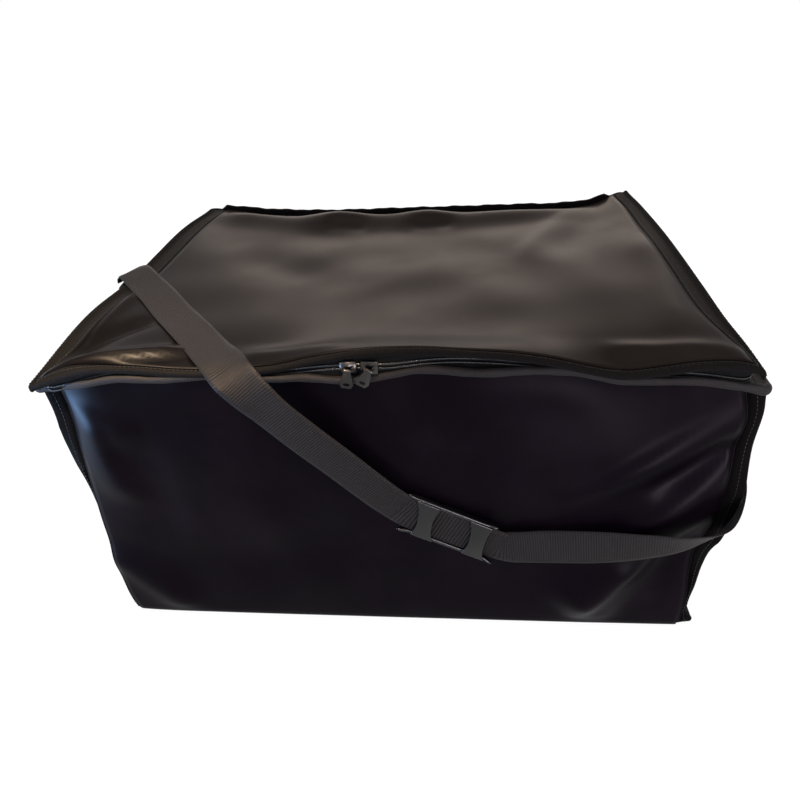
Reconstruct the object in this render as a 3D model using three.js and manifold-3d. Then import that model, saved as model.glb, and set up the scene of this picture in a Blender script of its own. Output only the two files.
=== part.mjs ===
// Insulated delivery bag: a soft box of coated fabric and foam, with a zipped lid that is hinged
// along the back and a shoulder strap that lies over the lid and across the front.
// Millimetres, +Z up. The origin is the middle of the base. The front faces -Y.
import * as THREE from 'three';
import { mergeVertices } from 'three/addons/utils/BufferGeometryUtils.js';
import Module from 'manifold-3d';

const wasm = await Module();
wasm.setup();

// Case
const CASE_WIDTH = 604;
const CASE_DEPTH = 460;
const WALL_HEIGHT = 309;
const BASE_RADIUS = 18;
const SKIN = 1.2;
const FOAM = 10;
const LINING = 0.8;
const BOARD = 2.4;
const GAP = 0.3;

// Bound seams
const FIN_WIDTH = 20;
const FIN_THICKNESS = 3.6;
const FIN_LIFT = 0.8;
const RIM_THICKNESS = 5;
const RIM_OVERHANG = 7;
const RIM_COVER = 9;
const RIM_CORNER = 12;
const HINGE_ROLL = 10;
const HINGE_ROLL_THICKNESS = 4;

// The front's top edge stands highest between the sliders and falls evenly to near both corners
const FRONT_RISE = 12;
const RISE_INSET = 22;

// Zip, measured across its halves
const TAPE_THICKNESS = 0.8;
const TAPE_SHOWN = 4.4;
const CHAIN_THICKNESS = 4.4;
const CHAIN_HALF = 2.6;
const CHAIN_SLOT = 1.2;
const ZIP_CORNER = 12;
const ZIP_END = 8;
const STOP_LENGTH = 4;

// Zip sliders and their pull tabs
const SLIDER_LEFT_X = -23;
const SLIDER_RIGHT_X = -5;
const SLIDER_LENGTH = 14;
const SLIDER_WIDTH = 12;
const SLIDER_PLATE = 1.6;
const SLIDER_WEB_LENGTH = 8;
const BRIDGE_STANDOFF = 4.5;
const BRIDGE_LENGTH = 8.8;
const BRIDGE_BAR_RADIUS = 0.6;
const BRIDGE_POST = 1.2;
const TAB_LENGTH = 16;
const TAB_TOP_WIDTH = 6;
const TAB_END_WIDTH = 12;
const TAB_THICKNESS = 1.2;
const TAB_SLEEVE_WALL = 0.7;
const TAB_HOLE_WIDTH = 5.6;
const TAB_HOLE_HEIGHT = 3.2;

// Lid
const LID_BAND_THICKNESS = 5;
const LID_SIDE_BAND = 20;
const LID_FRONT_BAND = 9;
const LID_SIDE_OVERHANG = 6;
const LID_DISH_DEPTH = 14;
const LID_FOAM_INSET = 16;

// Strap and its adjuster
const STRAP_WIDTH = 38;
const STRAP_THICKNESS = 1.6;
const STRAP_OVER_LID = 2.6;
const STRAP_STANDOFF = 6;
const ANCHOR_WIDTH = 46;
const ANCHOR_HEIGHT = 50;
const ANCHOR_THICKNESS = 2.4;
const ANCHOR_DROP = 65;
const ANCHOR_LEFT_Y = 30;
const ANCHOR_RIGHT_Y = 54;
const ADJUSTER_X = 56;
const ADJUSTER_HEIGHT = 153;
const ADJUSTER_SLOPE = THREE.MathUtils.degToRad(27.5);
const ADJUSTER_STANDOFF = 11;
const ADJUSTER_LENGTH = 108;
const ADJUSTER_RAIL = 4;
const ADJUSTER_RAIL_THICKNESS = 6.4;
const ADJUSTER_SIDE_PLAY = 0.6;
const CROSSBAR_LENGTH = 20;
const CROSSBAR_SPACING = 46;
const CROSSBAR_THICKNESS = 2.4;
const MIDDLE_BAR_LENGTH = 10;

// Places worked out from the sizes above
const SIDE_X = CASE_WIDTH / 2;
const FRONT_Y = -CASE_DEPTH / 2;
const BACK_Y = CASE_DEPTH / 2;
const WALL_TOP = WALL_HEIGHT - GAP;
const RIM_TOP = WALL_HEIGHT + RIM_THICKNESS;
const RIM_X = SIDE_X + FIN_WIDTH;
const RIM_Y = FRONT_Y - RIM_OVERHANG;
const TAPE_BODY_LOW = RIM_TOP + GAP;
const CHAIN_BODY_LOW = TAPE_BODY_LOW + TAPE_SHOWN + GAP;
const CHAIN_BODY_TOP = CHAIN_BODY_LOW + CHAIN_HALF;
const CHAIN_LID_LOW = CHAIN_BODY_TOP + CHAIN_SLOT;
const TAPE_LID_LOW = CHAIN_LID_LOW + CHAIN_HALF + GAP;
const LID_BAND_LOW = TAPE_LID_LOW + TAPE_SHOWN + GAP;
const LID_TOP = LID_BAND_LOW + LID_BAND_THICKNESS;
const ZIP_MIDDLE_Z = CHAIN_BODY_TOP + CHAIN_SLOT / 2;
const PEAK_X = (SLIDER_LEFT_X + SLIDER_RIGHT_X) / 2;
const RISE_END_X = SIDE_X - RISE_INSET;
const HINGE_Y = BACK_Y - SKIN - 2 * GAP;
const LID_BACK_Y = HINGE_Y - GAP;
const ZIP_BACK_Y = HINGE_Y - ZIP_END;
const LID_PANEL_X = SIDE_X + LID_SIDE_OVERHANG - LID_SIDE_BAND - GAP;
const LID_PANEL_FRONT_Y = RIM_Y + LID_FRONT_BAND + GAP;
const FOAM_OUTER_X = SIDE_X - SKIN - GAP;
const FOAM_INNER_X = FOAM_OUTER_X - FOAM;
const FOAM_OUTER_Y = BACK_Y - SKIN - GAP;
const FOAM_INNER_Y = FOAM_OUTER_Y - FOAM;
const BASE_FOAM_LOW = SKIN + GAP;
const WALL_FOAM_LOW = BASE_FOAM_LOW + FOAM + GAP;
const LINER_LOW = WALL_FOAM_LOW + BOARD + GAP;
const BRIDGE_Y = -(CHAIN_THICKNESS / 2 + GAP + SLIDER_PLATE + BRIDGE_STANDOFF);
const ANCHOR_FACE_X = SIDE_X + GAP + ANCHOR_THICKNESS;
const STRAP_PANEL_X = ANCHOR_FACE_X + GAP + STRAP_THICKNESS / 2;
const ANCHOR_Z = WALL_HEIGHT - ANCHOR_DROP;
const ADJUSTER_Y = FRONT_Y - ADJUSTER_STANDOFF;
const LAYER_OFFSET = (STRAP_THICKNESS + GAP) / 2;

const coatedFabric = { color: 0x17161a, roughness: 0.42, metalness: 0 };
const bindingTape = { color: 0x1c1817, roughness: 0.9, metalness: 0 };
const webbing = { color: 0x2b2725, roughness: 0.85, metalness: 0 };
const zipTape = { color: 0x121212, roughness: 0.95, metalness: 0 };
const zipCoil = { color: 0x1a1a1c, roughness: 0.45, metalness: 0 };
const sliderMetal = { color: 0x5a5652, roughness: 0.35, metalness: 0.9 };
const adjusterPlastic = { color: 0x141416, roughness: 0.4, metalness: 0 };
const foamSheet = { color: 0xd9d6cf, roughness: 0.95, metalness: 0 };
const lining = { color: 0xb9bcc0, roughness: 0.4, metalness: 0.3 };
const boardSheet = { color: 0x2e2d2c, roughness: 0.7, metalness: 0 };

const group = new THREE.Group();

// A geometry with only its positions, and its shared corners merged
function bareGeometry(geometry) {
  const bare = geometry.clone();
  bare.deleteAttribute('normal');
  bare.deleteAttribute('uv');
  return mergeVertices(bare, 1e-4);
}

function toSolid(geometry) {
  const bare = bareGeometry(geometry);
  return new wasm.Manifold(new wasm.Mesh({
    numProp: 3,
    vertProperties: new Float32Array(bare.attributes.position.array),
    triVerts: new Uint32Array(bare.index.array),
  }));
}

function toGeometry(solid) {
  const mesh = solid.getMesh();
  const geometry = new THREE.BufferGeometry();
  geometry.setAttribute('position', new THREE.BufferAttribute(new Float32Array(mesh.vertProperties), 3));
  geometry.setIndex(new THREE.BufferAttribute(new Uint32Array(mesh.triVerts), 1));
  return geometry;
}

function joined(...geometries) {
  const solids = geometries.map(toSolid);
  return toGeometry(solids.reduce((whole, part) => whole.add(part)));
}

function cut(geometry, ...tools) {
  return toGeometry(tools.reduce((whole, tool) => whole.subtract(toSolid(tool)), toSolid(geometry)));
}

function shared(geometry, limit) {
  return toGeometry(toSolid(geometry).intersect(toSolid(limit)));
}

// A named mesh in its own finish, added to the bag
function addPiece(name, geometry, finish, place) {
  const shape = geometry.index ? geometry.clone() : bareGeometry(geometry);
  shape.computeVertexNormals();
  const mesh = new THREE.Mesh(shape, new THREE.MeshStandardMaterial(finish));
  mesh.name = name;
  if (place) {
    mesh.position.copy(place.position);
    mesh.rotation.y = place.turn;
  }
  group.add(mesh);
  return mesh;
}

// A box between two corners
function block(low, high) {
  const size = high.map((value, axis) => value - low[axis]);
  const middle = high.map((value, axis) => (value + low[axis]) / 2);
  return new THREE.BoxGeometry(...size).translate(...middle);
}

// The case's section in Y and Z: a box with round lower corners, drawn in by an inset
function caseOutline(inset, top) {
  const half = CASE_DEPTH / 2 - inset;
  const radius = Math.max(BASE_RADIUS - inset, 1);
  const outline = new THREE.Shape();
  outline.moveTo(-half, top);
  outline.lineTo(-half, inset + radius);
  outline.absarc(-half + radius, inset + radius, radius, Math.PI, 1.5 * Math.PI, false);
  outline.lineTo(half - radius, inset);
  outline.absarc(half - radius, inset + radius, radius, 1.5 * Math.PI, 2 * Math.PI, false);
  outline.lineTo(half, top);
  outline.closePath();
  return outline;
}

// The case's section carried across from one X to another
function casePrism(inset, top, fromX, toX) {
  const prism = new THREE.ExtrudeGeometry(caseOutline(inset, top), {
    depth: toX - fromX,
    bevelEnabled: false,
    curveSegments: 6,
  });
  const turned = new THREE.Matrix4().makeBasis(
    new THREE.Vector3(0, 1, 0),
    new THREE.Vector3(0, 0, 1),
    new THREE.Vector3(1, 0, 0),
  );
  return prism.applyMatrix4(turned).translate(fromX, 0, 0);
}

// The slope of the front's top edge at an X: up towards the sliders from both corners
function riseSlope(x) {
  return x < PEAK_X ? FRONT_RISE / (PEAK_X + RISE_END_X) : FRONT_RISE / (PEAK_X - RISE_END_X);
}

// How far the front's top edge stands above the corners at an X
function frontRise(x) {
  const fromEnd = x < PEAK_X ? x + RISE_END_X : x - RISE_END_X;
  return Math.max(0, fromEnd * riseSlope(x));
}

// Everything above the front wall's top edge
function aboveFrontWall() {
  const top = LID_TOP + FRONT_RISE;
  const outline = new THREE.Shape();
  outline.moveTo(-RIM_X, WALL_TOP);
  outline.lineTo(-RISE_END_X, WALL_TOP);
  outline.lineTo(PEAK_X, WALL_TOP + FRONT_RISE);
  outline.lineTo(RISE_END_X, WALL_TOP);
  outline.lineTo(RIM_X, WALL_TOP);
  outline.lineTo(RIM_X, top);
  outline.lineTo(-RIM_X, top);
  outline.closePath();
  const prism = new THREE.ExtrudeGeometry(outline, { depth: -2 * FRONT_Y, bevelEnabled: false });
  return prism.rotateX(Math.PI / 2);
}

// One edge of a band, from the back of the left side, round the front corners, to the back of the
// right side. It holds a half width (x), a front line (y) and a corner radius.
function frontEdge(edge, backY) {
  const path = new THREE.Path();
  const cornerX = edge.x - edge.radius;
  const cornerY = edge.y + edge.radius;
  path.moveTo(-edge.x, backY);
  path.lineTo(-edge.x, cornerY);
  path.absarc(-cornerX, cornerY, edge.radius, Math.PI, 1.5 * Math.PI, false);
  path.lineTo(-RISE_END_X, edge.y);
  path.lineTo(PEAK_X, edge.y);
  path.lineTo(RISE_END_X, edge.y);
  path.lineTo(cornerX, edge.y);
  path.absarc(cornerX, cornerY, edge.radius, 1.5 * Math.PI, 2 * Math.PI, false);
  path.lineTo(edge.x, backY);
  return path.getPoints(5);
}

// A band that runs down the left side, across the front, where it rises, and up the right side
function frontBand(outer, inner, backY, lowZ, highZ) {
  const innerEdge = frontEdge(inner, backY);
  const level = (corner, z) => new THREE.Vector3(corner.x, corner.y, z + frontRise(corner.x));
  return ringBody(frontEdge(outer, backY).map((corner, place) => [
    level(corner, lowZ),
    level(corner, highZ),
    level(innerEdge[place], highZ),
    level(innerEdge[place], lowZ),
  ]));
}

// A strip on the zip's line, as thick as given
function zipStrip(thickness, lowZ, highZ) {
  const half = thickness / 2;
  return frontBand(
    { x: SIDE_X + half, y: FRONT_Y - half, radius: ZIP_CORNER + half },
    { x: SIDE_X - half, y: FRONT_Y + half, radius: ZIP_CORNER - half },
    ZIP_BACK_Y,
    lowZ,
    highZ,
  );
}

// Height of the lid's top surface: it meets the band at its edges and is dished in the middle
function lidSurface(x, y) {
  const middleY = (LID_PANEL_FRONT_Y + LID_BACK_Y) / 2;
  const halfDepth = (LID_BACK_Y - LID_PANEL_FRONT_Y) / 2;
  const across = THREE.MathUtils.clamp(x / LID_PANEL_X, -1, 1);
  const along = THREE.MathUtils.clamp((y - middleY) / halfDepth, -1, 1);
  const frontShare = (1 - along) ** 2 / 4;
  return LID_TOP + frontRise(x) * frontShare - LID_DISH_DEPTH * (1 - across ** 2) * (1 - along ** 2);
}

// A closed body from rings of points, each with the same number of points
function ringBody(rings) {
  const count = rings[0].length;
  const corners = rings.flat();
  const faces = [];
  for (let ring = 0; ring < rings.length - 1; ring += 1) {
    for (let side = 0; side < count; side += 1) {
      const next = (side + 1) % count;
      const a = ring * count + side;
      const b = ring * count + next;
      faces.push(a, b, b + count, a, b + count, a + count);
    }
  }
  const last = (rings.length - 1) * count;
  for (let side = 1; side < count - 1; side += 1) {
    faces.push(0, side + 1, side);
    faces.push(last, last + side, last + side + 1);
  }
  return facingOut(corners, faces);
}

// A geometry whose faces point out of the body, whichever way they were listed
function facingOut(corners, faces) {
  let volume = 0;
  for (let face = 0; face < faces.length; face += 3) {
    const [a, b, c] = [0, 1, 2].map((corner) => corners[faces[face + corner]]);
    volume += a.dot(b.clone().cross(c));
  }
  const listed = volume > 0 ? faces : faces.slice().reverse();
  const geometry = new THREE.BufferGeometry();
  const positions = corners.flatMap((corner) => corner.toArray());
  geometry.setAttribute('position', new THREE.Float32BufferAttribute(positions, 3));
  geometry.setIndex(listed);
  return geometry;
}

// A sheet of the lid: it follows the dished surface, a depth below it, inside an inset
function lidSheet(inset, depth, thickness) {
  const columns = 16;
  const rows = 12;
  const corners = [];
  for (const drop of [depth, depth + thickness]) {
    for (let row = 0; row <= rows; row += 1) {
      for (let column = 0; column <= columns; column += 1) {
        const x = (LID_PANEL_X - inset) * (2 * column / columns - 1);
        const y = THREE.MathUtils.lerp(LID_PANEL_FRONT_Y + inset, LID_BACK_Y - inset, row / rows);
        corners.push(new THREE.Vector3(x, y, lidSurface(x, y) - drop));
      }
    }
  }
  const stride = columns + 1;
  const lower = stride * (rows + 1);
  const faces = [];
  for (let row = 0; row < rows; row += 1) {
    for (let column = 0; column < columns; column += 1) {
      const a = row * stride + column;
      const b = a + stride;
      faces.push(a, a + 1, b + 1, a, b + 1, b);
      faces.push(lower + a, lower + b + 1, lower + a + 1, lower + a, lower + b, lower + b + 1);
    }
  }
  const edge = [];
  for (let column = 0; column < columns; column += 1) edge.push(column);
  for (let row = 0; row < rows; row += 1) edge.push(row * stride + columns);
  for (let column = columns; column > 0; column -= 1) edge.push(rows * stride + column);
  for (let row = rows; row > 0; row -= 1) edge.push(row * stride);
  edge.forEach((a, place) => {
    const b = edge[(place + 1) % edge.length];
    faces.push(a, lower + a, lower + b, a, lower + b, b);
  });
  return facingOut(corners, faces);
}

// A flat strap along a smooth route. Each stop has a point and the way that the strap's width lies there.
function strapRibbon(stops) {
  const curve = new THREE.CatmullRomCurve3(stops.map((stop) => stop.point), false, 'centripetal');
  const steps = (stops.length - 1) * 4;
  const rings = [];
  for (let step = 0; step <= steps; step += 1) {
    const place = step / steps;
    const along = curve.getTangent(place);
    const stop = Math.min(Math.floor(place * (stops.length - 1)), stops.length - 2);
    const share = place * (stops.length - 1) - stop;
    const across = stops[stop].across.clone().lerp(stops[stop + 1].across, share);
    across.addScaledVector(along, -across.dot(along)).normalize().multiplyScalar(STRAP_WIDTH / 2);
    const outward = along.clone().cross(across).normalize().multiplyScalar(STRAP_THICKNESS / 2);
    const middle = curve.getPoint(place);
    rings.push([[1, 1], [1, -1], [-1, -1], [-1, 1]].map(([side, face]) => middle.clone()
      .addScaledVector(across, side)
      .addScaledVector(outward, face)));
  }
  return ringBody(rings);
}

function stopAt(x, y, z, ...across) {
  return { point: new THREE.Vector3(x, y, z), across: new THREE.Vector3(...across).normalize() };
}

// A point of the adjuster's own frame, in the bag's frame
function atAdjuster(along, outward, across) {
  return new THREE.Vector3(along, outward, across)
    .applyAxisAngle(new THREE.Vector3(0, 1, 0), ADJUSTER_SLOPE)
    .add(new THREE.Vector3(ADJUSTER_X, ADJUSTER_Y, ADJUSTER_HEIGHT));
}

function adjusterStop(along, outward) {
  const across = new THREE.Vector3(0, 0, 1).applyAxisAngle(new THREE.Vector3(0, 1, 0), ADJUSTER_SLOPE);
  return { point: atAdjuster(along, outward, 0), across };
}

function addCase() {
  const wrapX = SIDE_X - SKIN - GAP;
  const backTop = LID_TOP - HINGE_ROLL - GAP;
  const wrap = cut(
    casePrism(0, backTop, -wrapX, wrapX),
    casePrism(SKIN, backTop + FOAM, -SIDE_X, SIDE_X),
    aboveFrontWall().translate(0, FRONT_Y + FOAM, 0),
  );
  addPiece('outer_wrap', wrap, coatedFabric);
  addPiece('left_side_panel', casePrism(0, WALL_TOP, -SIDE_X, -SIDE_X + SKIN), coatedFabric);
  addPiece('right_side_panel', casePrism(0, WALL_TOP, SIDE_X - SKIN, SIDE_X), coatedFabric);
}

function addInsulation() {
  const inside = casePrism(SKIN + GAP, LID_TOP, -FOAM_OUTER_X, FOAM_OUTER_X);
  const frontTop = WALL_TOP + FRONT_RISE;
  const aboveFront = aboveFrontWall();
  const baseTop = BASE_FOAM_LOW + FOAM;
  const sideY = FOAM_INNER_Y - GAP;
  const sheets = {
    base_foam: [[-FOAM_OUTER_X, -FOAM_OUTER_Y, BASE_FOAM_LOW], [FOAM_OUTER_X, FOAM_OUTER_Y, baseTop]],
    front_foam: [[-FOAM_OUTER_X, -FOAM_OUTER_Y, WALL_FOAM_LOW], [FOAM_OUTER_X, -FOAM_INNER_Y, frontTop]],
    back_foam: [[-FOAM_OUTER_X, FOAM_INNER_Y, WALL_FOAM_LOW], [FOAM_OUTER_X, FOAM_OUTER_Y, WALL_TOP]],
    left_foam: [[-FOAM_OUTER_X, -sideY, WALL_FOAM_LOW], [-FOAM_INNER_X, sideY, WALL_TOP]],
    right_foam: [[FOAM_INNER_X, -sideY, WALL_FOAM_LOW], [FOAM_OUTER_X, sideY, WALL_TOP]],
  };
  for (const [name, [low, high]] of Object.entries(sheets)) {
    const sheet = shared(block(low, high), inside);
    addPiece(name, name === 'front_foam' ? cut(sheet, aboveFront) : sheet, foamSheet);
  }
  const linerX = FOAM_INNER_X - GAP;
  const linerY = FOAM_INNER_Y - GAP;
  const boardTop = WALL_FOAM_LOW + BOARD;
  addPiece('base_board', block([-linerX, -linerY, WALL_FOAM_LOW], [linerX, linerY, boardTop]), boardSheet);
  const hollowX = linerX - LINING;
  const hollowY = linerY - LINING;
  const liner = cut(
    block([-linerX, -linerY, LINER_LOW], [linerX, linerY, frontTop]),
    block([-hollowX, -hollowY, LINER_LOW + LINING], [hollowX, hollowY, LID_TOP]),
    block([-RIM_X, -hollowY, WALL_TOP], [RIM_X, BACK_Y, LID_TOP]),
    aboveFront,
  );
  addPiece('inner_liner', liner, lining);
}

function addBindings() {
  const rim = frontBand(
    { x: RIM_X, y: RIM_Y, radius: RIM_CORNER },
    { x: SIDE_X - RIM_COVER, y: FRONT_Y + RIM_COVER, radius: RIM_CORNER / 2 },
    HINGE_Y,
    WALL_HEIGHT,
    RIM_TOP,
  );
  addPiece('body_rim_binding', rim, bindingTape);
  for (const [name, side] of [['left_seam_binding', -1], ['right_seam_binding', 1]]) {
    const ends = [side * (SIDE_X + GAP), side * RIM_X].sort((a, b) => a - b);
    const fin = cut(
      casePrism(FIN_LIFT, WALL_TOP, ends[0], ends[1]),
      casePrism(FIN_LIFT + FIN_THICKNESS, RIM_TOP, ends[0] - FOAM, ends[1] + FOAM),
    );
    addPiece(name, fin, bindingTape);
  }
  const hingeRoll = block(
    [-SIDE_X, HINGE_Y + GAP, LID_TOP - HINGE_ROLL],
    [SIDE_X, HINGE_Y + GAP + HINGE_ROLL_THICKNESS, LID_TOP - GAP],
  );
  addPiece('hinge_seam_binding', hingeRoll, bindingTape);
}

function addLid() {
  const foamDepth = SKIN + GAP;
  const linerDepth = foamDepth + FOAM + GAP;
  addPiece('lid_panel', lidSheet(0, 0, SKIN), coatedFabric);
  addPiece('lid_foam', lidSheet(LID_FOAM_INSET, foamDepth, FOAM), foamSheet);
  addPiece('lid_liner', lidSheet(LID_FOAM_INSET, linerDepth, LINING), lining);
  const band = frontBand(
    { x: SIDE_X + LID_SIDE_OVERHANG, y: RIM_Y, radius: RIM_CORNER },
    { x: LID_PANEL_X + GAP, y: RIM_Y + LID_FRONT_BAND, radius: GAP },
    LID_BACK_Y,
    LID_BAND_LOW,
    LID_TOP,
  );
  addPiece('lid_binding', band, bindingTape);
}

function addZip() {
  const strips = [
    ['zipper_tape_body', TAPE_THICKNESS, TAPE_BODY_LOW, TAPE_SHOWN, zipTape],
    ['zipper_chain_body', CHAIN_THICKNESS, CHAIN_BODY_LOW, CHAIN_HALF, zipCoil],
    ['zipper_chain_lid', CHAIN_THICKNESS, CHAIN_LID_LOW, CHAIN_HALF, zipCoil],
    ['zipper_tape_lid', TAPE_THICKNESS, TAPE_LID_LOW, TAPE_SHOWN, zipTape],
  ];
  for (const [name, thickness, low, height, finish] of strips) {
    addPiece(name, zipStrip(thickness, low, low + height), finish);
  }
  const half = CHAIN_THICKNESS / 2;
  for (const [name, side] of [['zipper_stop_left', -1], ['zipper_stop_right', 1]]) {
    const stop = block(
      [side * SIDE_X - half, ZIP_BACK_Y + GAP, TAPE_BODY_LOW],
      [side * SIDE_X + half, ZIP_BACK_Y + GAP + STOP_LENGTH, CHAIN_BODY_TOP],
    );
    addPiece(name, stop, sliderMetal);
  }
}

// A slider: two plates either side of the chain, joined through its slot, with a bridge for the tab
function sliderShape() {
  const inner = CHAIN_THICKNESS / 2 + GAP;
  const outer = inner + SLIDER_PLATE;
  const halfLength = SLIDER_LENGTH / 2;
  const halfWidth = SLIDER_WIDTH / 2;
  const webHalf = CHAIN_SLOT / 2 - GAP;
  const postOuter = BRIDGE_LENGTH / 2;
  const postInner = postOuter - BRIDGE_POST;
  const postFrontY = BRIDGE_Y - BRIDGE_BAR_RADIUS;
  const postBackY = -inner - GAP;
  const bar = new THREE.CylinderGeometry(BRIDGE_BAR_RADIUS, BRIDGE_BAR_RADIUS, BRIDGE_LENGTH, 10);
  bar.rotateZ(Math.PI / 2).translate(0, BRIDGE_Y, 0);
  const parts = [
    block([-halfLength, -outer, -halfWidth], [halfLength, -inner, halfWidth]),
    block([-halfLength, inner, -halfWidth], [halfLength, outer, halfWidth]),
    block([-SLIDER_WEB_LENGTH / 2, -outer, -webHalf], [SLIDER_WEB_LENGTH / 2, outer, webHalf]),
    block([-postOuter, postFrontY, -BRIDGE_BAR_RADIUS], [-postInner, postBackY, BRIDGE_BAR_RADIUS]),
    block([postInner, postFrontY, -BRIDGE_BAR_RADIUS], [postOuter, postBackY, BRIDGE_BAR_RADIUS]),
    bar,
  ];
  return joined(...parts);
}

// A pull tab that hangs from the bridge: a sleeve round the bar and a flared plate with a hole
function tabShape() {
  const bore = BRIDGE_BAR_RADIUS + GAP;
  const sleeveRadius = bore + TAB_SLEEVE_WALL;
  const sleeveHalf = BRIDGE_LENGTH / 2 - BRIDGE_POST - GAP;
  const ring = new THREE.Shape();
  ring.absarc(0, 0, sleeveRadius, 0, 2 * Math.PI, false);
  const hole = new THREE.Path();
  hole.absarc(0, 0, bore, 0, 2 * Math.PI, true);
  ring.holes.push(hole);
  const sleeveSettings = { depth: 2 * sleeveHalf, bevelEnabled: false, curveSegments: 8 };
  const sleeve = new THREE.ExtrudeGeometry(ring, sleeveSettings);
  sleeve.rotateY(Math.PI / 2).translate(-sleeveHalf, 0, 0);
  const top = -bore - TAB_SLEEVE_WALL / 2;
  const low = top - TAB_LENGTH;
  const end = TAB_END_WIDTH / 2;
  const shoulder = TAB_LENGTH / 4;
  const plate = new THREE.Shape();
  plate.moveTo(-Math.min(TAB_TOP_WIDTH / 2, sleeveHalf), top);
  plate.lineTo(-end, low + shoulder);
  plate.lineTo(-end * 2 / 3, low);
  plate.lineTo(end * 2 / 3, low);
  plate.lineTo(end, low + shoulder);
  plate.lineTo(Math.min(TAB_TOP_WIDTH / 2, sleeveHalf), top);
  plate.closePath();
  const eye = new THREE.Path();
  eye.absellipse(0, low + shoulder, TAB_HOLE_WIDTH / 2, TAB_HOLE_HEIGHT / 2, 0, 2 * Math.PI, true);
  plate.holes.push(eye);
  const plateSettings = { depth: TAB_THICKNESS, bevelEnabled: false, curveSegments: 8 };
  const tab = new THREE.ExtrudeGeometry(plate, plateSettings);
  tab.rotateX(Math.PI / 2).translate(0, TAB_THICKNESS / 2, 0);
  return joined(sleeve, tab);
}

function addSliders() {
  for (const [side, x] of [['left', SLIDER_LEFT_X], ['right', SLIDER_RIGHT_X]]) {
    const z = ZIP_MIDDLE_Z + frontRise(x);
    const turn = -Math.atan(riseSlope(x));
    const onZip = { position: new THREE.Vector3(x, FRONT_Y, z), turn };
    const onBridge = { position: new THREE.Vector3(x, FRONT_Y + BRIDGE_Y, z), turn };
    addPiece(`slider_${side}`, sliderShape(), sliderMetal, onZip);
    addPiece(`pull_tab_${side}`, tabShape(), sliderMetal, onBridge);
  }
}

// Where the strap's moving part starts on the left and ends on the right, with the way that the
// strap runs there and the way that its width lies
function swingLine() {
  return {
    left: {
      point: new THREE.Vector3(-SIDE_X - 14, -2, LID_TOP + 6),
      along: new THREE.Vector3(0.8, -0.55, 0.1).normalize(),
      across: new THREE.Vector3(0.5, 0.86, 0).normalize(),
    },
    right: {
      point: new THREE.Vector3(RIM_X + 5, -12, ANCHOR_Z + 3),
      along: new THREE.Vector3(-0.15, 0.97, 0.18).normalize(),
      across: new THREE.Vector3(0.05, -0.2, 0.97).normalize(),
    },
  };
}

// Stops on a straight stretch, at distances along it from its own point
function straightStops(stretch, ...distances) {
  return distances.map((distance) => ({
    point: stretch.point.clone().addScaledVector(stretch.along, distance),
    across: stretch.across,
  }));
}

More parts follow.
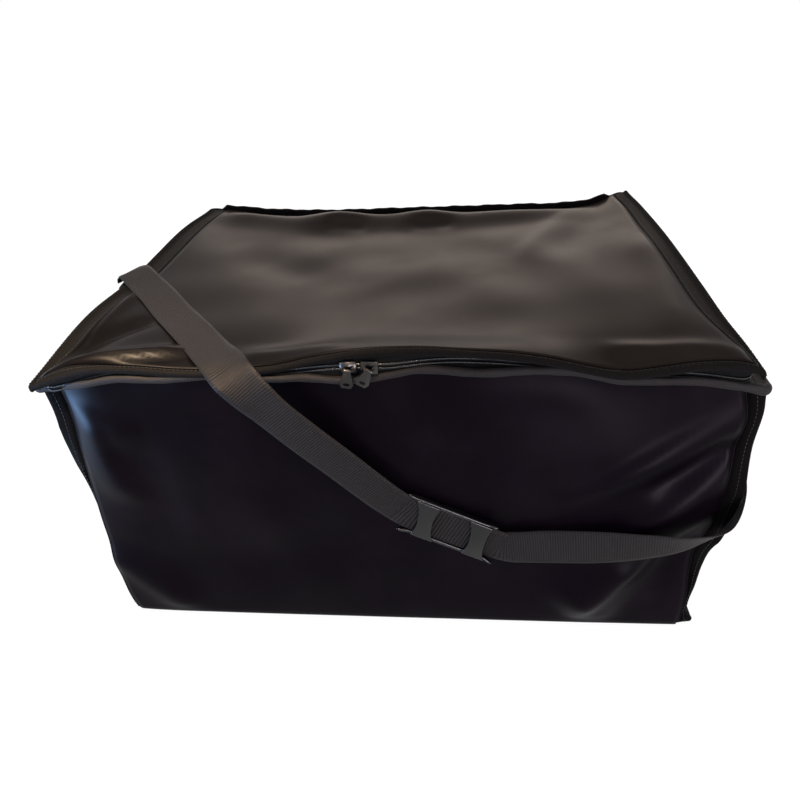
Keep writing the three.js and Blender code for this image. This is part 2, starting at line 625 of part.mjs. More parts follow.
// The strap's stops are set out by hand from the edges that it passes: the lid, the rim's front and
// side, and the adjuster's height.
function addStrap() {
  const swing = swingLine();
  const straight = 8;
  const onLid = (x, y) => stopAt(x, y, lidSurface(x, y) + STRAP_OVER_LID, 0.77, 0.64, 0);
  const overEdge = (x, y, up, ...across) => stopAt(x, y, LID_TOP + frontRise(x) + up, ...across);
  const hangY = RIM_Y - STRAP_STANDOFF;
  const slotEnd = CROSSBAR_SPACING / 2 + CROSSBAR_LENGTH / 2;
  const mouth = ADJUSTER_LENGTH / 2;
  addPiece('strap_webbing_left', strapRibbon([
    ...straightStops(swing.left, 0, straight),
    onLid(-SIDE_X + 20, -48),
    onLid(-SIDE_X + 75, -114),
    onLid(-SIDE_X + 124, -172),
    overEdge(-139, RIM_Y + 15, 5, 0.77, 0.6, 0.12),
    overEdge(-121, RIM_Y - 6, 1, 0.78, 0.3, 0.5),
    overEdge(-108, hangY - 1, -22, 0.75, 0.04, 0.66),
    stopAt(-84, hangY, RIM_TOP - 26, 0.74, 0, 0.67),
    stopAt(-43, hangY, RIM_TOP - 76, 0.7, 0, 0.71),
    stopAt(-11, hangY, RIM_TOP - 113, 0.58, 0, 0.81),
    adjusterStop(-mouth - straight, -LAYER_OFFSET),
    adjusterStop(-mouth, -LAYER_OFFSET),
    adjusterStop(0, -LAYER_OFFSET),
    adjusterStop(slotEnd, -LAYER_OFFSET),
  ]), webbing);
  addPiece('strap_webbing_right', strapRibbon([
    adjusterStop(-slotEnd, LAYER_OFFSET),
    adjusterStop(0, LAYER_OFFSET),
    adjusterStop(mouth, LAYER_OFFSET),
    adjusterStop(mouth + straight, LAYER_OFFSET),
    stopAt(152, hangY - 1, ADJUSTER_HEIGHT - 24, 0.06, 0.2, 0.97),
    stopAt(204, hangY - 7, ADJUSTER_HEIGHT - 17, 0, 0.2, 0.97),
    stopAt(246, hangY - 9, ADJUSTER_HEIGHT - 12, -0.05, 0.15, 0.98),
    stopAt(SIDE_X - 16, hangY - 8, ADJUSTER_HEIGHT - 5, -0.1, 0.05, 0.98),
    stopAt(RIM_X - 4, hangY + 1, ADJUSTER_HEIGHT + 5, -0.15, -0.1, 0.96),
    stopAt(RIM_X + 16, RIM_Y + 18, ADJUSTER_HEIGHT + 21, -0.1, -0.25, 0.94),
    stopAt(RIM_X + 21, RIM_Y + 54, ADJUSTER_HEIGHT + 40, 0, -0.3, 0.94),
    stopAt(RIM_X + 18, RIM_Y + 98, ADJUSTER_HEIGHT + 59, 0, -0.3, 0.94),
    stopAt(RIM_X + 11, RIM_Y + 160, ADJUSTER_HEIGHT + 80, 0.02, -0.25, 0.96),
    ...straightStops(swing.right, -straight, 0),
  ]), webbing);
  addPiece('strap_end_left', strapRibbon([
    stopAt(-STRAP_PANEL_X, ANCHOR_LEFT_Y, ANCHOR_Z - ANCHOR_HEIGHT / 3, 0, 1, 0),
    stopAt(-STRAP_PANEL_X, ANCHOR_LEFT_Y, ANCHOR_Z, 0, 1, 0),
    stopAt(-STRAP_PANEL_X - GAP, ANCHOR_LEFT_Y, ANCHOR_Z + ANCHOR_HEIGHT / 4, 0, 1, 0),
    stopAt(-STRAP_PANEL_X - 4 * GAP, ANCHOR_LEFT_Y, ANCHOR_Z + ANCHOR_HEIGHT / 2, 0, 1, 0),
    stopAt(-RIM_X + 5, ANCHOR_LEFT_Y - 6, WALL_HEIGHT - 22, 0, 1, 0),
    stopAt(-RIM_X - 5, ANCHOR_LEFT_Y - 13, WALL_HEIGHT + 2, 0, 1, 0),
    stopAt(-RIM_X - 5, ANCHOR_LEFT_Y - 20, RIM_TOP + 14, 0.15, 0.95, 0.1),
    ...straightStops(swing.left, -straight, -GAP),
  ]), webbing);
  addPiece('strap_end_right', strapRibbon([
    ...straightStops(swing.right, GAP, straight),
    stopAt(SIDE_X + 13, ANCHOR_RIGHT_Y - 38, ANCHOR_Z + 5, 0, 0, 1),
    stopAt(STRAP_PANEL_X + 4 * GAP, ANCHOR_RIGHT_Y - ANCHOR_WIDTH / 2, ANCHOR_Z + 3, 0, 0.15, 1),
    stopAt(STRAP_PANEL_X + GAP, ANCHOR_RIGHT_Y - ANCHOR_WIDTH / 4, ANCHOR_Z + 1, 0, 0.15, 1),
    stopAt(STRAP_PANEL_X, ANCHOR_RIGHT_Y, ANCHOR_Z, 0, 0, 1),
    stopAt(STRAP_PANEL_X, ANCHOR_RIGHT_Y + ANCHOR_WIDTH / 3, ANCHOR_Z, 0, 0, 1),
  ]), webbing);
}

function addAnchors() {
  const sides = [['left_strap_anchor', -1, ANCHOR_LEFT_Y], ['right_strap_anchor', 1, ANCHOR_RIGHT_Y]];
  for (const [name, side, middleY] of sides) {
    const faces = [side * (SIDE_X + GAP), side * ANCHOR_FACE_X].sort((a, b) => a - b);
    const patch = block(
      [faces[0], middleY - ANCHOR_WIDTH / 2, ANCHOR_Z - ANCHOR_HEIGHT / 2],
      [faces[1], middleY + ANCHOR_WIDTH / 2, ANCHOR_Z + ANCHOR_HEIGHT / 2],
    );
    addPiece(name, patch, coatedFabric);
  }
}

// The adjuster: two rails, two broad bars in front of the strap and one bar behind it
function addAdjuster() {
  const slotHalf = LAYER_OFFSET + STRAP_THICKNESS / 2 + GAP;
  const railInner = STRAP_WIDTH / 2 + ADJUSTER_SIDE_PLAY;
  const railOuter = railInner + ADJUSTER_RAIL;
  const half = ADJUSTER_LENGTH / 2;
  const railHalf = ADJUSTER_RAIL_THICKNESS / 2;
  const bars = [-1, 1].map((side) => {
    const middle = side * CROSSBAR_SPACING / 2;
    return block(
      [middle - CROSSBAR_LENGTH / 2, -slotHalf - CROSSBAR_THICKNESS, -railOuter],
      [middle + CROSSBAR_LENGTH / 2, -slotHalf, railOuter],
    );
  });
  const middleBar = block(
    [-MIDDLE_BAR_LENGTH / 2, slotHalf, -railOuter],
    [MIDDLE_BAR_LENGTH / 2, slotHalf + CROSSBAR_THICKNESS, railOuter],
  );
  const frame = joined(
    block([-half, -railHalf, -railOuter], [half, railHalf, -railInner]),
    block([-half * 0.9, -railHalf, railInner], [half * 0.9, railHalf, railOuter]),
    ...bars,
    middleBar,
  );
  const middle = new THREE.Vector3(ADJUSTER_X, ADJUSTER_Y, ADJUSTER_HEIGHT);
  addPiece('adjuster_frame', frame, adjusterPlastic, { position: middle, turn: ADJUSTER_SLOPE });
}

addCase();
addInsulation();
addBindings();
addLid();
addZip();
addSliders();
addAnchors();
addStrap();
addAdjuster();

export default group;
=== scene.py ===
"""Insulated delivery bag: the soft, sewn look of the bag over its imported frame.

Lengths are in millimetres inside this script and become metres where a mesh is made.
"""
from __future__ import annotations

import logging
import math
from dataclasses import dataclass, field
from enum import Enum
from typing import Callable, Sequence

import bmesh
import bpy
import numpy as np
from mathutils import Matrix, Vector

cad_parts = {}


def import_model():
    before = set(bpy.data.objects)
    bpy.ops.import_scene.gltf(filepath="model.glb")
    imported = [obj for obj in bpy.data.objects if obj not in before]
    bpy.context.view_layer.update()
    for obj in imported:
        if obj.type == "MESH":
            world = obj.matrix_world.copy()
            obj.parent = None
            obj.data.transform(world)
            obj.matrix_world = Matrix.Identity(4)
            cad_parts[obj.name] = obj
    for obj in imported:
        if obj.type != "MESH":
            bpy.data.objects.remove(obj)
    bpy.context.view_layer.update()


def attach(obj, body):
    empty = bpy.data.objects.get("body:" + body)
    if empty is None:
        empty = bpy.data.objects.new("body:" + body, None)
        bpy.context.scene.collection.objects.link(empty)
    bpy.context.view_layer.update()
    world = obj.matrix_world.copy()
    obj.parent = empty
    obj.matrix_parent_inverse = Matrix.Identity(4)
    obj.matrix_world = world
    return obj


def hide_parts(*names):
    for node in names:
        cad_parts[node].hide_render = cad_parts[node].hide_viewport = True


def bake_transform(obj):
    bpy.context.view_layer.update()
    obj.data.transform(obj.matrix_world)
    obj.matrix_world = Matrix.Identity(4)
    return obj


LOG = logging.getLogger("delivery_bag")
MM = 0.001

Stops = Sequence[tuple[float, float]]
Spot = tuple[float, float, float]
Pair = tuple[float, float]
Quad = tuple[int, int, int, int]
Piece = bpy.types.Object


def spline(stops: Stops, at: np.ndarray | float) -> np.ndarray:
    """A smooth curve through stops, level past both ends.

    Args:
        stops: Pairs of place and value, in rising order of place.
        at: Places to read.

    Returns:
        The values at those places.
    """
    places, values = (np.array(column, dtype=float) for column in zip(*stops))
    at = np.clip(np.asarray(at, dtype=float), places[0], places[-1])
    slopes = np.gradient(values, places)
    slopes[0] = slopes[-1] = 0.0
    step = np.clip(np.searchsorted(places, at, side="right") - 1, 0, len(places) - 2)
    width = places[step + 1] - places[step]
    share = (at - places[step]) / width
    squared, cubed = share ** 2, share ** 3
    return (
        values[step] * (2 * cubed - 3 * squared + 1)
        + values[step + 1] * (3 * squared - 2 * cubed)
        + slopes[step] * width * (cubed - 2 * squared + share)
        + slopes[step + 1] * width * (cubed - squared)
    )


def ease(low: float, high: float, at: np.ndarray | float) -> np.ndarray:
    """A smooth step from 0 at low to 1 at high; low may be the larger."""
    share = np.clip((np.asarray(at, dtype=float) - low) / (high - low), 0.0, 1.0)
    return share * share * (3 - 2 * share)


def fading(at: np.ndarray, reach: float, power: int) -> np.ndarray:
    """A flat hill, 1 in the middle and 0 from reach on; a larger power has a steeper edge."""
    return np.clip(1 - (at / reach) ** power, 0, 1)


@dataclass(frozen=True)
class Fold:
    """A soft ridge (or a valley, with a negative height) on a sheet, in the sheet's own plane."""

    start: tuple[float, float]
    end: tuple[float, float]
    width: float
    height: float
    bend: float = 0.0
    skew: float = 0.0

    def raised(self, a: np.ndarray, b: np.ndarray) -> np.ndarray:
        """How far the sheet stands up.

        Args:
            a: First coordinate in the sheet's plane.
            b: Second coordinate in the sheet's plane.

        Returns:
            The height of the ridge at those places.
        """
        run = np.array(self.end, dtype=float) - np.array(self.start, dtype=float)
        length = float(np.hypot(*run))
        run /= length
        away_a, away_b = a - self.start[0], b - self.start[1]
        along = (away_a * run[0] + away_b * run[1]) / length
        across = away_b * run[0] - away_a * run[1] - self.bend * 4 * along * (1 - along)
        width = self.width * (1 + self.skew * np.sign(across) * ease(0, self.width, np.abs(across)))
        ends = ease(-0.18, 0.22, along) * ease(1.18, 0.78, along)
        return self.height * ends * np.exp(-((across / width) ** 2))


def raised_by(folds: Sequence[Fold], a: np.ndarray, b: np.ndarray) -> np.ndarray:
    """The summed height of several folds at places a and b."""
    return sum((fold.raised(a, b) for fold in folds), np.zeros(np.broadcast(a, b).shape))


def ripple(a: np.ndarray, b: np.ndarray, size: float, phase: float) -> np.ndarray:
    """Shallow unevenness between about -1 and 1, from a few crossing waves of about one size.

    Args:
        a: First coordinate in the sheet's plane.
        b: Second coordinate in the sheet's plane.
        size: Length of a wave.
        phase: Shifts the waves, so that no two sheets are alike.

    Returns:
        The unevenness at those places.
    """
    turns = ((1.0, 0.31), (-0.57, 0.83), (0.22, -1.13), (0.93, 0.71))
    total = np.zeros(np.broadcast(a, b).shape)
    for place, (first, second) in enumerate(turns):
        total += np.sin((a * first + b * second) * math.tau / size + phase * (place + 1) * 1.7)
    return total / len(turns)


def linked(name: str, data: bpy.types.ID) -> Piece:
    """A new object with the given data, linked to the scene.

    Args:
        name: Name of the object.
        data: Its mesh, light or camera.

    Returns:
        The object.
    """
    made = bpy.data.objects.new(name, data)
    bpy.context.scene.collection.objects.link(made)
    return made


def baked(name: str, source: Piece) -> Piece:
    """A smooth mesh object with the source's modifiers applied, in the source's place.

    Args:
        name: Name of the new object.
        source: The object that it is made from, which is removed.

    Returns:
        The new object.
    """
    shown = source.evaluated_get(bpy.context.evaluated_depsgraph_get())
    made = linked(name, bpy.data.meshes.new_from_object(shown))
    bpy.data.objects.remove(source)
    made.data.polygons.foreach_set("use_smooth", [True] * len(made.data.polygons))
    return made


def make_object(name: str, points: np.ndarray, faces: Sequence[Sequence[int]]) -> Piece:
    """A smooth mesh object at the origin, with its faces turned outwards.

    Args:
        name: Name of the piece.
        points: Corners in millimetres, one row each.
        faces: Corner numbers of each face.

    Returns:
        The linked object.
    """
    mesh = bpy.data.meshes.new(name)
    corners = np.asarray(points, dtype=float).reshape(-1, 3) * MM
    mesh.from_pydata(corners.tolist(), [], [list(face) for face in faces])
    work = bmesh.new()
    work.from_mesh(mesh)
    bmesh.ops.recalc_face_normals(work, faces=work.faces[:])
    work.to_mesh(mesh)
    work.free()
    mesh.polygons.foreach_set("use_smooth", [True] * len(mesh.polygons))
    return linked(name, mesh)


def grid_faces(rows: int, columns: int, first: int = 0, wrap: bool = False) -> list[Quad]:
    """Quads of a grid of corners that are numbered row by row.

    Args:
        rows: How many rows of corners.
        columns: How many corners in a row.
        first: Number of the first corner.
        wrap: Whether the last column is joined to the first.

    Returns:
        Corner numbers of each quad.
    """
    faces = []
    for row in range(rows - 1):
        for column in range(columns if wrap else columns - 1):
            a = first + row * columns + column
            b = first + row * columns + (column + 1) % columns
            faces.append((a, b, b + columns, a + columns))
    return faces


def slab(name: str, outer: np.ndarray, inner: np.ndarray) -> Piece:
    """A closed sheet between two grids of points.

    Args:
        name: Name of the piece.
        outer: Points of one face, rows by columns by three.
        inner: Points of the other face, in the same order.

    Returns:
        The object, with a closed rim.
    """
    rows, columns = outer.shape[:2]
    count = rows * columns
    faces = grid_faces(rows, columns) + grid_faces(rows, columns, count)
    edge = list(range(columns)) + [row * columns + columns - 1 for row in range(1, rows)]
    edge += [count - 1 - step for step in range(1, columns)]
    edge += [row * columns for row in range(rows - 2, 0, -1)]
    for place, a in enumerate(edge):
        b = edge[(place + 1) % len(edge)]
        faces.append((a, b, b + count, a + count))
    return make_object(name, np.concatenate([outer.reshape(-1, 3), inner.reshape(-1, 3)]), faces)


def loft(name: str, rings: np.ndarray) -> Piece:
    """A closed body through rings of points, capped at both ends.

    Args:
        name: Name of the piece.
        rings: Points of each ring, rings by sides by three.

    Returns:
        The object.
    """
    count, sides = rings.shape[:2]
    faces: list[Sequence[int]] = list(grid_faces(count, sides, wrap=True))
    faces.append(tuple(range(sides)))
    faces.append(tuple(range((count - 1) * sides, count * sides)))
    return make_object(name, rings, faces)


def smooth_path(points: np.ndarray, spacing: float) -> np.ndarray:
    """Even samples of a centripetal curve through points.

    Args:
        points: The stops, each row of any width.
        spacing: Distance between samples, measured on the first three columns.

    Returns:
        The samples, with the same columns.
    """
    padded = np.vstack([2 * points[0] - points[1], points, 2 * points[-1] - points[-2]])
    pieces = []
    for stop in range(1, len(padded) - 2):
        p0, p1, p2, p3 = padded[stop - 1:stop + 3]
        knots = [0.0]
        for a, b in ((p0, p1), (p1, p2), (p2, p3)):
            knots.append(knots[-1] + max(float(np.linalg.norm((b - a)[:3])) ** 0.5, 1e-4))
        t0, t1, t2, t3 = knots
        t = np.linspace(t1, t2, 24, endpoint=False)[:, None]
        a1 = (t1 - t) / (t1 - t0) * p0 + (t - t0) / (t1 - t0) * p1
        a2 = (t2 - t) / (t2 - t1) * p1 + (t - t1) / (t2 - t1) * p2
        a3 = (t3 - t) / (t3 - t2) * p2 + (t - t2) / (t3 - t2) * p3
        b1 = (t2 - t) / (t2 - t0) * a1 + (t - t0) / (t2 - t0) * a2
        b2 = (t3 - t) / (t3 - t1) * a2 + (t - t1) / (t3 - t1) * a3
        pieces.append((t2 - t) / (t2 - t1) * b1 + (t - t1) / (t2 - t1) * b2)
    dense = np.vstack(pieces + [padded[-2][None, :]])
    run = np.concatenate([[0.0], np.cumsum(np.linalg.norm(np.diff(dense[:, :3], axis=0), axis=1))])
    places = np.linspace(0.0, run[-1], max(int(round(run[-1] / spacing)), 2) + 1)
    return np.stack([np.interp(places, run, column) for column in dense.T], axis=1)


def unit(vectors: np.ndarray) -> np.ndarray:
    """Vectors of length one, row by row."""
    return vectors / np.maximum(np.linalg.norm(vectors, axis=-1, keepdims=True), 1e-9)


class Tree:
    """Builds one node tree, for a material, a shared effect or a geometry tree."""

    def __init__(self, tree: bpy.types.NodeTree) -> None:
        """Keeps the tree that it fills."""
        self.tree = tree

    def node(self, kind: str, links: dict | None = None, **settings: object) -> bpy.types.Node:
        """Adds a node.

        Args:
            kind: The node's type.
            links: Values or output sockets for its inputs, by name or number.
            settings: Attributes of the node.

        Returns:
            The new node.
        """
        made = self.tree.nodes.new(kind)
        for key, value in settings.items():
            setattr(made, key, value)
        for key, value in (links or {}).items():
            if isinstance(value, bpy.types.NodeSocket):
                self.tree.links.new(value, made.inputs[key])
            else:
                made.inputs[key].default_value = value
        return made

    def sockets(self, inputs: Sequence[tuple], outputs: Sequence[tuple]) -> None:
        """Names a group's sockets.

        Args:
            inputs: Name, type and, where it has one, default value of each input.
            outputs: Name and type of each output.
        """
        for name, kind, *value in inputs:
            made = self.tree.interface.new_socket(name, in_out="INPUT", socket_type=f"NodeSocket{kind}")
            if value:
                made.default_value = value[0]
        for name, kind in outputs:
            self.tree.interface.new_socket(name, in_out="OUTPUT", socket_type=f"NodeSocket{kind}")


def fresh_tree(owner: bpy.types.Material | bpy.types.World) -> Tree:
    """The node tree of a material or world, switched on and emptied.

    Args:
        owner: The material or world.

    Returns:
        Its tree.
    """
    owner.use_nodes = True
    owner.node_tree.nodes.clear()
    return Tree(owner.node_tree)


def seen_plainly(tree: Tree) -> bpy.types.NodeSocket:
    """A mask of the rays from the camera, off glossy surfaces and through clear ones.

    Args:
        tree: The tree that gets the nodes.

    Returns:
        The socket that is 1 for those rays.
    """
    seen = tree.node("ShaderNodeLightPath")
    direct = tree.node("ShaderNodeMath", {
        0: seen.outputs["Is Camera Ray"], 1: seen.outputs["Is Glossy Ray"]}, operation="MAXIMUM")
    shown = tree.node("ShaderNodeMath", {
        0: direct.outputs[0], 1: seen.outputs["Is Transmission Ray"]}, operation="MAXIMUM")
    return shown.outputs[0]


def shader_group(name: str) -> tuple[Tree, bool]:
    """A shared shader effect by name, and whether it is new and still empty."""
    known = bpy.data.node_groups.get(name)
    return Tree(known or bpy.data.node_groups.new(name, "ShaderNodeTree")), known is None


def grain_group() -> bpy.types.NodeTree:
    """The fine pebbled grain of coated fabric, with soft scuffs.

    Returns:
        A group that puts out a Height for a bump and a Mask of slightly worn places.
    """
    tree, new = shader_group("coated_grain")
    if not new:
        return tree.tree
    tree.sockets([("Grain Size", "Float", 900.0), ("Scuff Size", "Float", 9.0)],
                 [("Height", "Float"), ("Mask", "Float")])
    given = tree.node("NodeGroupInput")
    place = tree.node("ShaderNodeTexCoord").outputs["Object"]
    grain = {"Vector": place, "Scale": given.outputs["Grain Size"]}
    cells = tree.node("ShaderNodeTexVoronoi", grain, feature="F1")
    fine = tree.node("ShaderNodeTexNoise", {**grain, "Detail": 3.0})
    height = tree.node("ShaderNodeMath", {0: cells.outputs["Distance"], 1: fine.outputs["Fac"]},
                       operation="MULTIPLY")
    scuff = tree.node("ShaderNodeTexNoise", {
        "Vector": place, "Scale": given.outputs["Scuff Size"], "Detail": 6.0, "Roughness": 0.62})
    mask = tree.node("ShaderNodeMapRange", {
        "Value": scuff.outputs["Fac"], "From Min": 0.42, "From Max": 0.68}, interpolation_type="SMOOTHSTEP")
    tree.node("NodeGroupOutput", {"Height": height.outputs[0], "Mask": mask.outputs["Result"]})
    return tree.tree


def weave_group() -> bpy.types.NodeTree:
    """A plain weave of crossing threads on Object coordinates.

    Returns:
        A group that puts out a Height for a bump and a Mask that is high on the threads' crowns.
    """
    tree, new = shader_group("thread_weave")
    if not new:
        return tree.tree
    tree.sockets([("Thread Scale", "Float", 1600.0)], [("Height", "Float"), ("Mask", "Float")])
    given = tree.node("NodeGroupInput")
    place = tree.node("ShaderNodeTexCoord").outputs["Object"]
    along_x, along_y, along_z = (
        tree.node("ShaderNodeTexWave", {
            "Vector": place, "Scale": given.outputs["Thread Scale"],
            "Distortion": 0.6, "Detail": 1.0}, wave_type="BANDS", bands_direction=axis).outputs["Fac"]
        for axis in ("X", "Y", "Z")
    )
    crossed = tree.node("ShaderNodeMath", {0: along_x, 1: along_y}, operation="MULTIPLY")
    woven = tree.node("ShaderNodeMath", {0: crossed.outputs[0], 1: along_z}, operation="ADD")
    fluff = tree.node("ShaderNodeTexNoise", {"Vector": place, "Scale": 60.0, "Detail": 5.0})
    height = tree.node("ShaderNodeMath", {0: woven.outputs[0], 1: fluff.outputs["Fac"]}, operation="MULTIPLY")
    mask = tree.node("ShaderNodeMapRange", {"Value": height.outputs[0], "From Min": 0.2, "From Max": 0.9})
    tree.node("NodeGroupOutput", {"Height": height.outputs[0], "Mask": mask.outputs["Result"]})
    return tree.tree


class Surface(Enum):
    """Which shared effect gives a finish its fine surface."""

    GRAIN = "grain"
    WEAVE = "weave"


@dataclass(frozen=True)
class Finish:
    """One finish of the bag: its colours, its gloss and its fine surface."""

    name: str
    slot: str
    base: Spot
    wear_and_crown_highlight: Spot
    rough: tuple[float, float]
    surface: Surface = Surface.GRAIN
    detail_scale: float = 900.0
    bump: float = 0.12
    bump_distance: float = 0.0004
    ior: float = 1.45
    metallic: float = 0.0
    coat: float = 0.0
    sheen: float = 0.0
    crown_highlight_attribute: str = ""

    def material(self) -> bpy.types.Material:
        """The finish's node material, built once.

        Returns:
            The material.
        """
        known = bpy.data.materials.get(self.name)
        if known:
            return known
        material = bpy.data.materials.new(self.name)
        material.diffuse_color = (*self.base, 1.0)
        tree = fresh_tree(material)
        if self.surface is Surface.GRAIN:
            fine = tree.node("ShaderNodeGroup", node_tree=grain_group())
            size_name = "Grain Size"
        else:
            fine = tree.node("ShaderNodeGroup", node_tree=weave_group())
            size_name = "Thread Scale"
        fine.inputs[size_name].default_value = self.detail_scale
        mask = fine.outputs["Mask"]
        # A finish that names an attribute takes its second colour from that attribute instead of its scuffs:
        # painted highlight where the attribute is high, painted shade where it is low.
        if self.crown_highlight_attribute:
            crown = tree.node("ShaderNodeAttribute", attribute_name=self.crown_highlight_attribute)
            mask = tree.node("ShaderNodeMapRange", {
                "Value": crown.outputs["Fac"], "From Min": 0.1, "From Max": 0.9}).outputs["Result"]
        colour = tree.node("ShaderNodeMix", {
            "Factor": mask, 6: (*self.base, 1.0), 7: (*self.wear_and_crown_highlight, 1.0)}, data_type="RGBA")
        rough = tree.node("ShaderNodeMapRange", {
            "Value": fine.outputs["Mask"], "To Min": self.rough[0], "To Max": self.rough[1]})
        bump = tree.node("ShaderNodeBump", {
            "Strength": self.bump, "Distance": self.bump_distance, "Height": fine.outputs["Height"]})
        skin = tree.node("ShaderNodeBsdfPrincipled", {
            "Base Color": colour.outputs[2], "Roughness": rough.outputs["Result"],
            "Normal": bump.outputs["Normal"], "Metallic": self.metallic, "IOR": self.ior,
            "Coat Weight": self.coat, "Sheen Weight": self.sheen})
        tree.node("ShaderNodeOutputMaterial", {"Surface": skin.outputs["BSDF"]})
        return material

    def dress(self, *pieces: Piece) -> None:
        """Puts the finish on pieces.

        Args:
            pieces: The pieces.
        """
        for piece in pieces:
            if piece.data.materials:
                for place in range(len(piece.data.materials)):
                    piece.data.materials[place] = self.material()
            else:
                piece.data.materials.append(self.material())


COATED = Finish("satin_coated_fabric", "coated_fabric", (0.0036, 0.0014, 0.0044), (0.0062, 0.0028, 0.007),
                (0.37, 0.45), detail_scale=700.0, bump=0.14, ior=1.105)
# The lid's cloth is the same coated fabric as the front, given a lighter, warmer colour: painted sheen of the
# warm light that falls on the lid.
LID_SHEEN_COATED = Finish("lid_coated_fabric_painted_sheen", "coated_fabric", (0.0115, 0.0076, 0.0063), (0.0155, 0.0108, 0.0094),
                    (0.32, 0.4), detail_scale=700.0, bump=0.14, ior=1.1)
BINDING = Finish("binding_tape", "binding", (0.002, 0.0014, 0.0018), (0.0055, 0.004, 0.0046),
                 (0.66, 0.8), Surface.WEAVE, 900.0, 0.35, ior=1.08, sheen=0.02)
BAND_TAPE = Finish("lid_band_tape", "binding", (0.004, 0.0028, 0.0026), (0.0095, 0.0068, 0.006),
                   (0.66, 0.8), Surface.WEAVE, 900.0, 0.35, ior=1.12, sheen=0.03)
RIM_TAPE = Finish("rim_tape", "binding", (0.0135, 0.01, 0.0112), (0.029, 0.022, 0.0235),
                  (0.6, 0.76), Surface.WEAVE, 900.0, 0.35, ior=1.22, sheen=0.05)
THREAD = Finish("sewing_thread", "binding", (0.016, 0.014, 0.0135), (0.026, 0.023, 0.022), (0.5, 0.7),
                Surface.WEAVE, 2500.0, 0.2, ior=1.3)
# The webbing's rib attribute puts its light colour on the rib crowns and its dark one in the valleys between
# them: painted highlight and painted shade over the ribs' own geometry.
WEBBING = Finish("strap_webbing", "webbing", (0.0014, 0.001, 0.0012), (0.026, 0.0196, 0.0222),
                 (0.5, 0.66), Surface.WEAVE, 1300.0, 0.3, ior=1.19, sheen=0.05, crown_highlight_attribute="rib")
# The zip's tape and coil are black, made darker still: painted shade of the gap between the lid's band and
# the rim where they sit.
TAPE = Finish("zip_tape_cloth", "zip_tape", (0.0015, 0.0015, 0.002), (0.0035, 0.0035, 0.004), (0.8, 0.9),
              Surface.WEAVE, 1800.0, 0.4, ior=1.2)
COIL = Finish("zip_coil_nylon", "zip_coil", (0.002, 0.002, 0.0026), (0.005, 0.005, 0.006), (0.3, 0.42),
              detail_scale=1500.0, bump=0.05, ior=1.4)
METAL = Finish("gunmetal_plating", "zip_metal", (0.03, 0.028, 0.028), (0.07, 0.065, 0.062), (0.24, 0.36),
               detail_scale=1500.0, bump=0.05, metallic=1.0)
PLASTIC = Finish("moulded_plastic", "adjuster_plastic", (0.0022, 0.002, 0.003), (0.0045, 0.004, 0.0056),
                 (0.24, 0.34), detail_scale=1100.0, bump=0.06, ior=1.36)
FOAM = Finish("foam_sheet", "foam", (0.66, 0.64, 0.6), (0.72, 0.7, 0.66), (0.9, 0.98),
              detail_scale=1300.0, bump=0.5)
LINING = Finish("silver_lining", "lining", (0.42, 0.43, 0.45), (0.5, 0.51, 0.53), (0.32, 0.5), Surface.WEAVE,
                1100.0, 0.3, metallic=0.35)
BOARD = Finish("stiffener_board", "board", (0.035, 0.034, 0.033), (0.05, 0.048, 0.046), (0.6, 0.75))


SIDE_X = 302.0
FRONT_Y = -230.0
BACK_Y = 230.0
WALL_TOP = 308.7
LID_TOP = 335.4
RIM_Y = -237.0
BASE_RADIUS = 11.0
SKIN = 1.2
SIDE_PARTS = 300


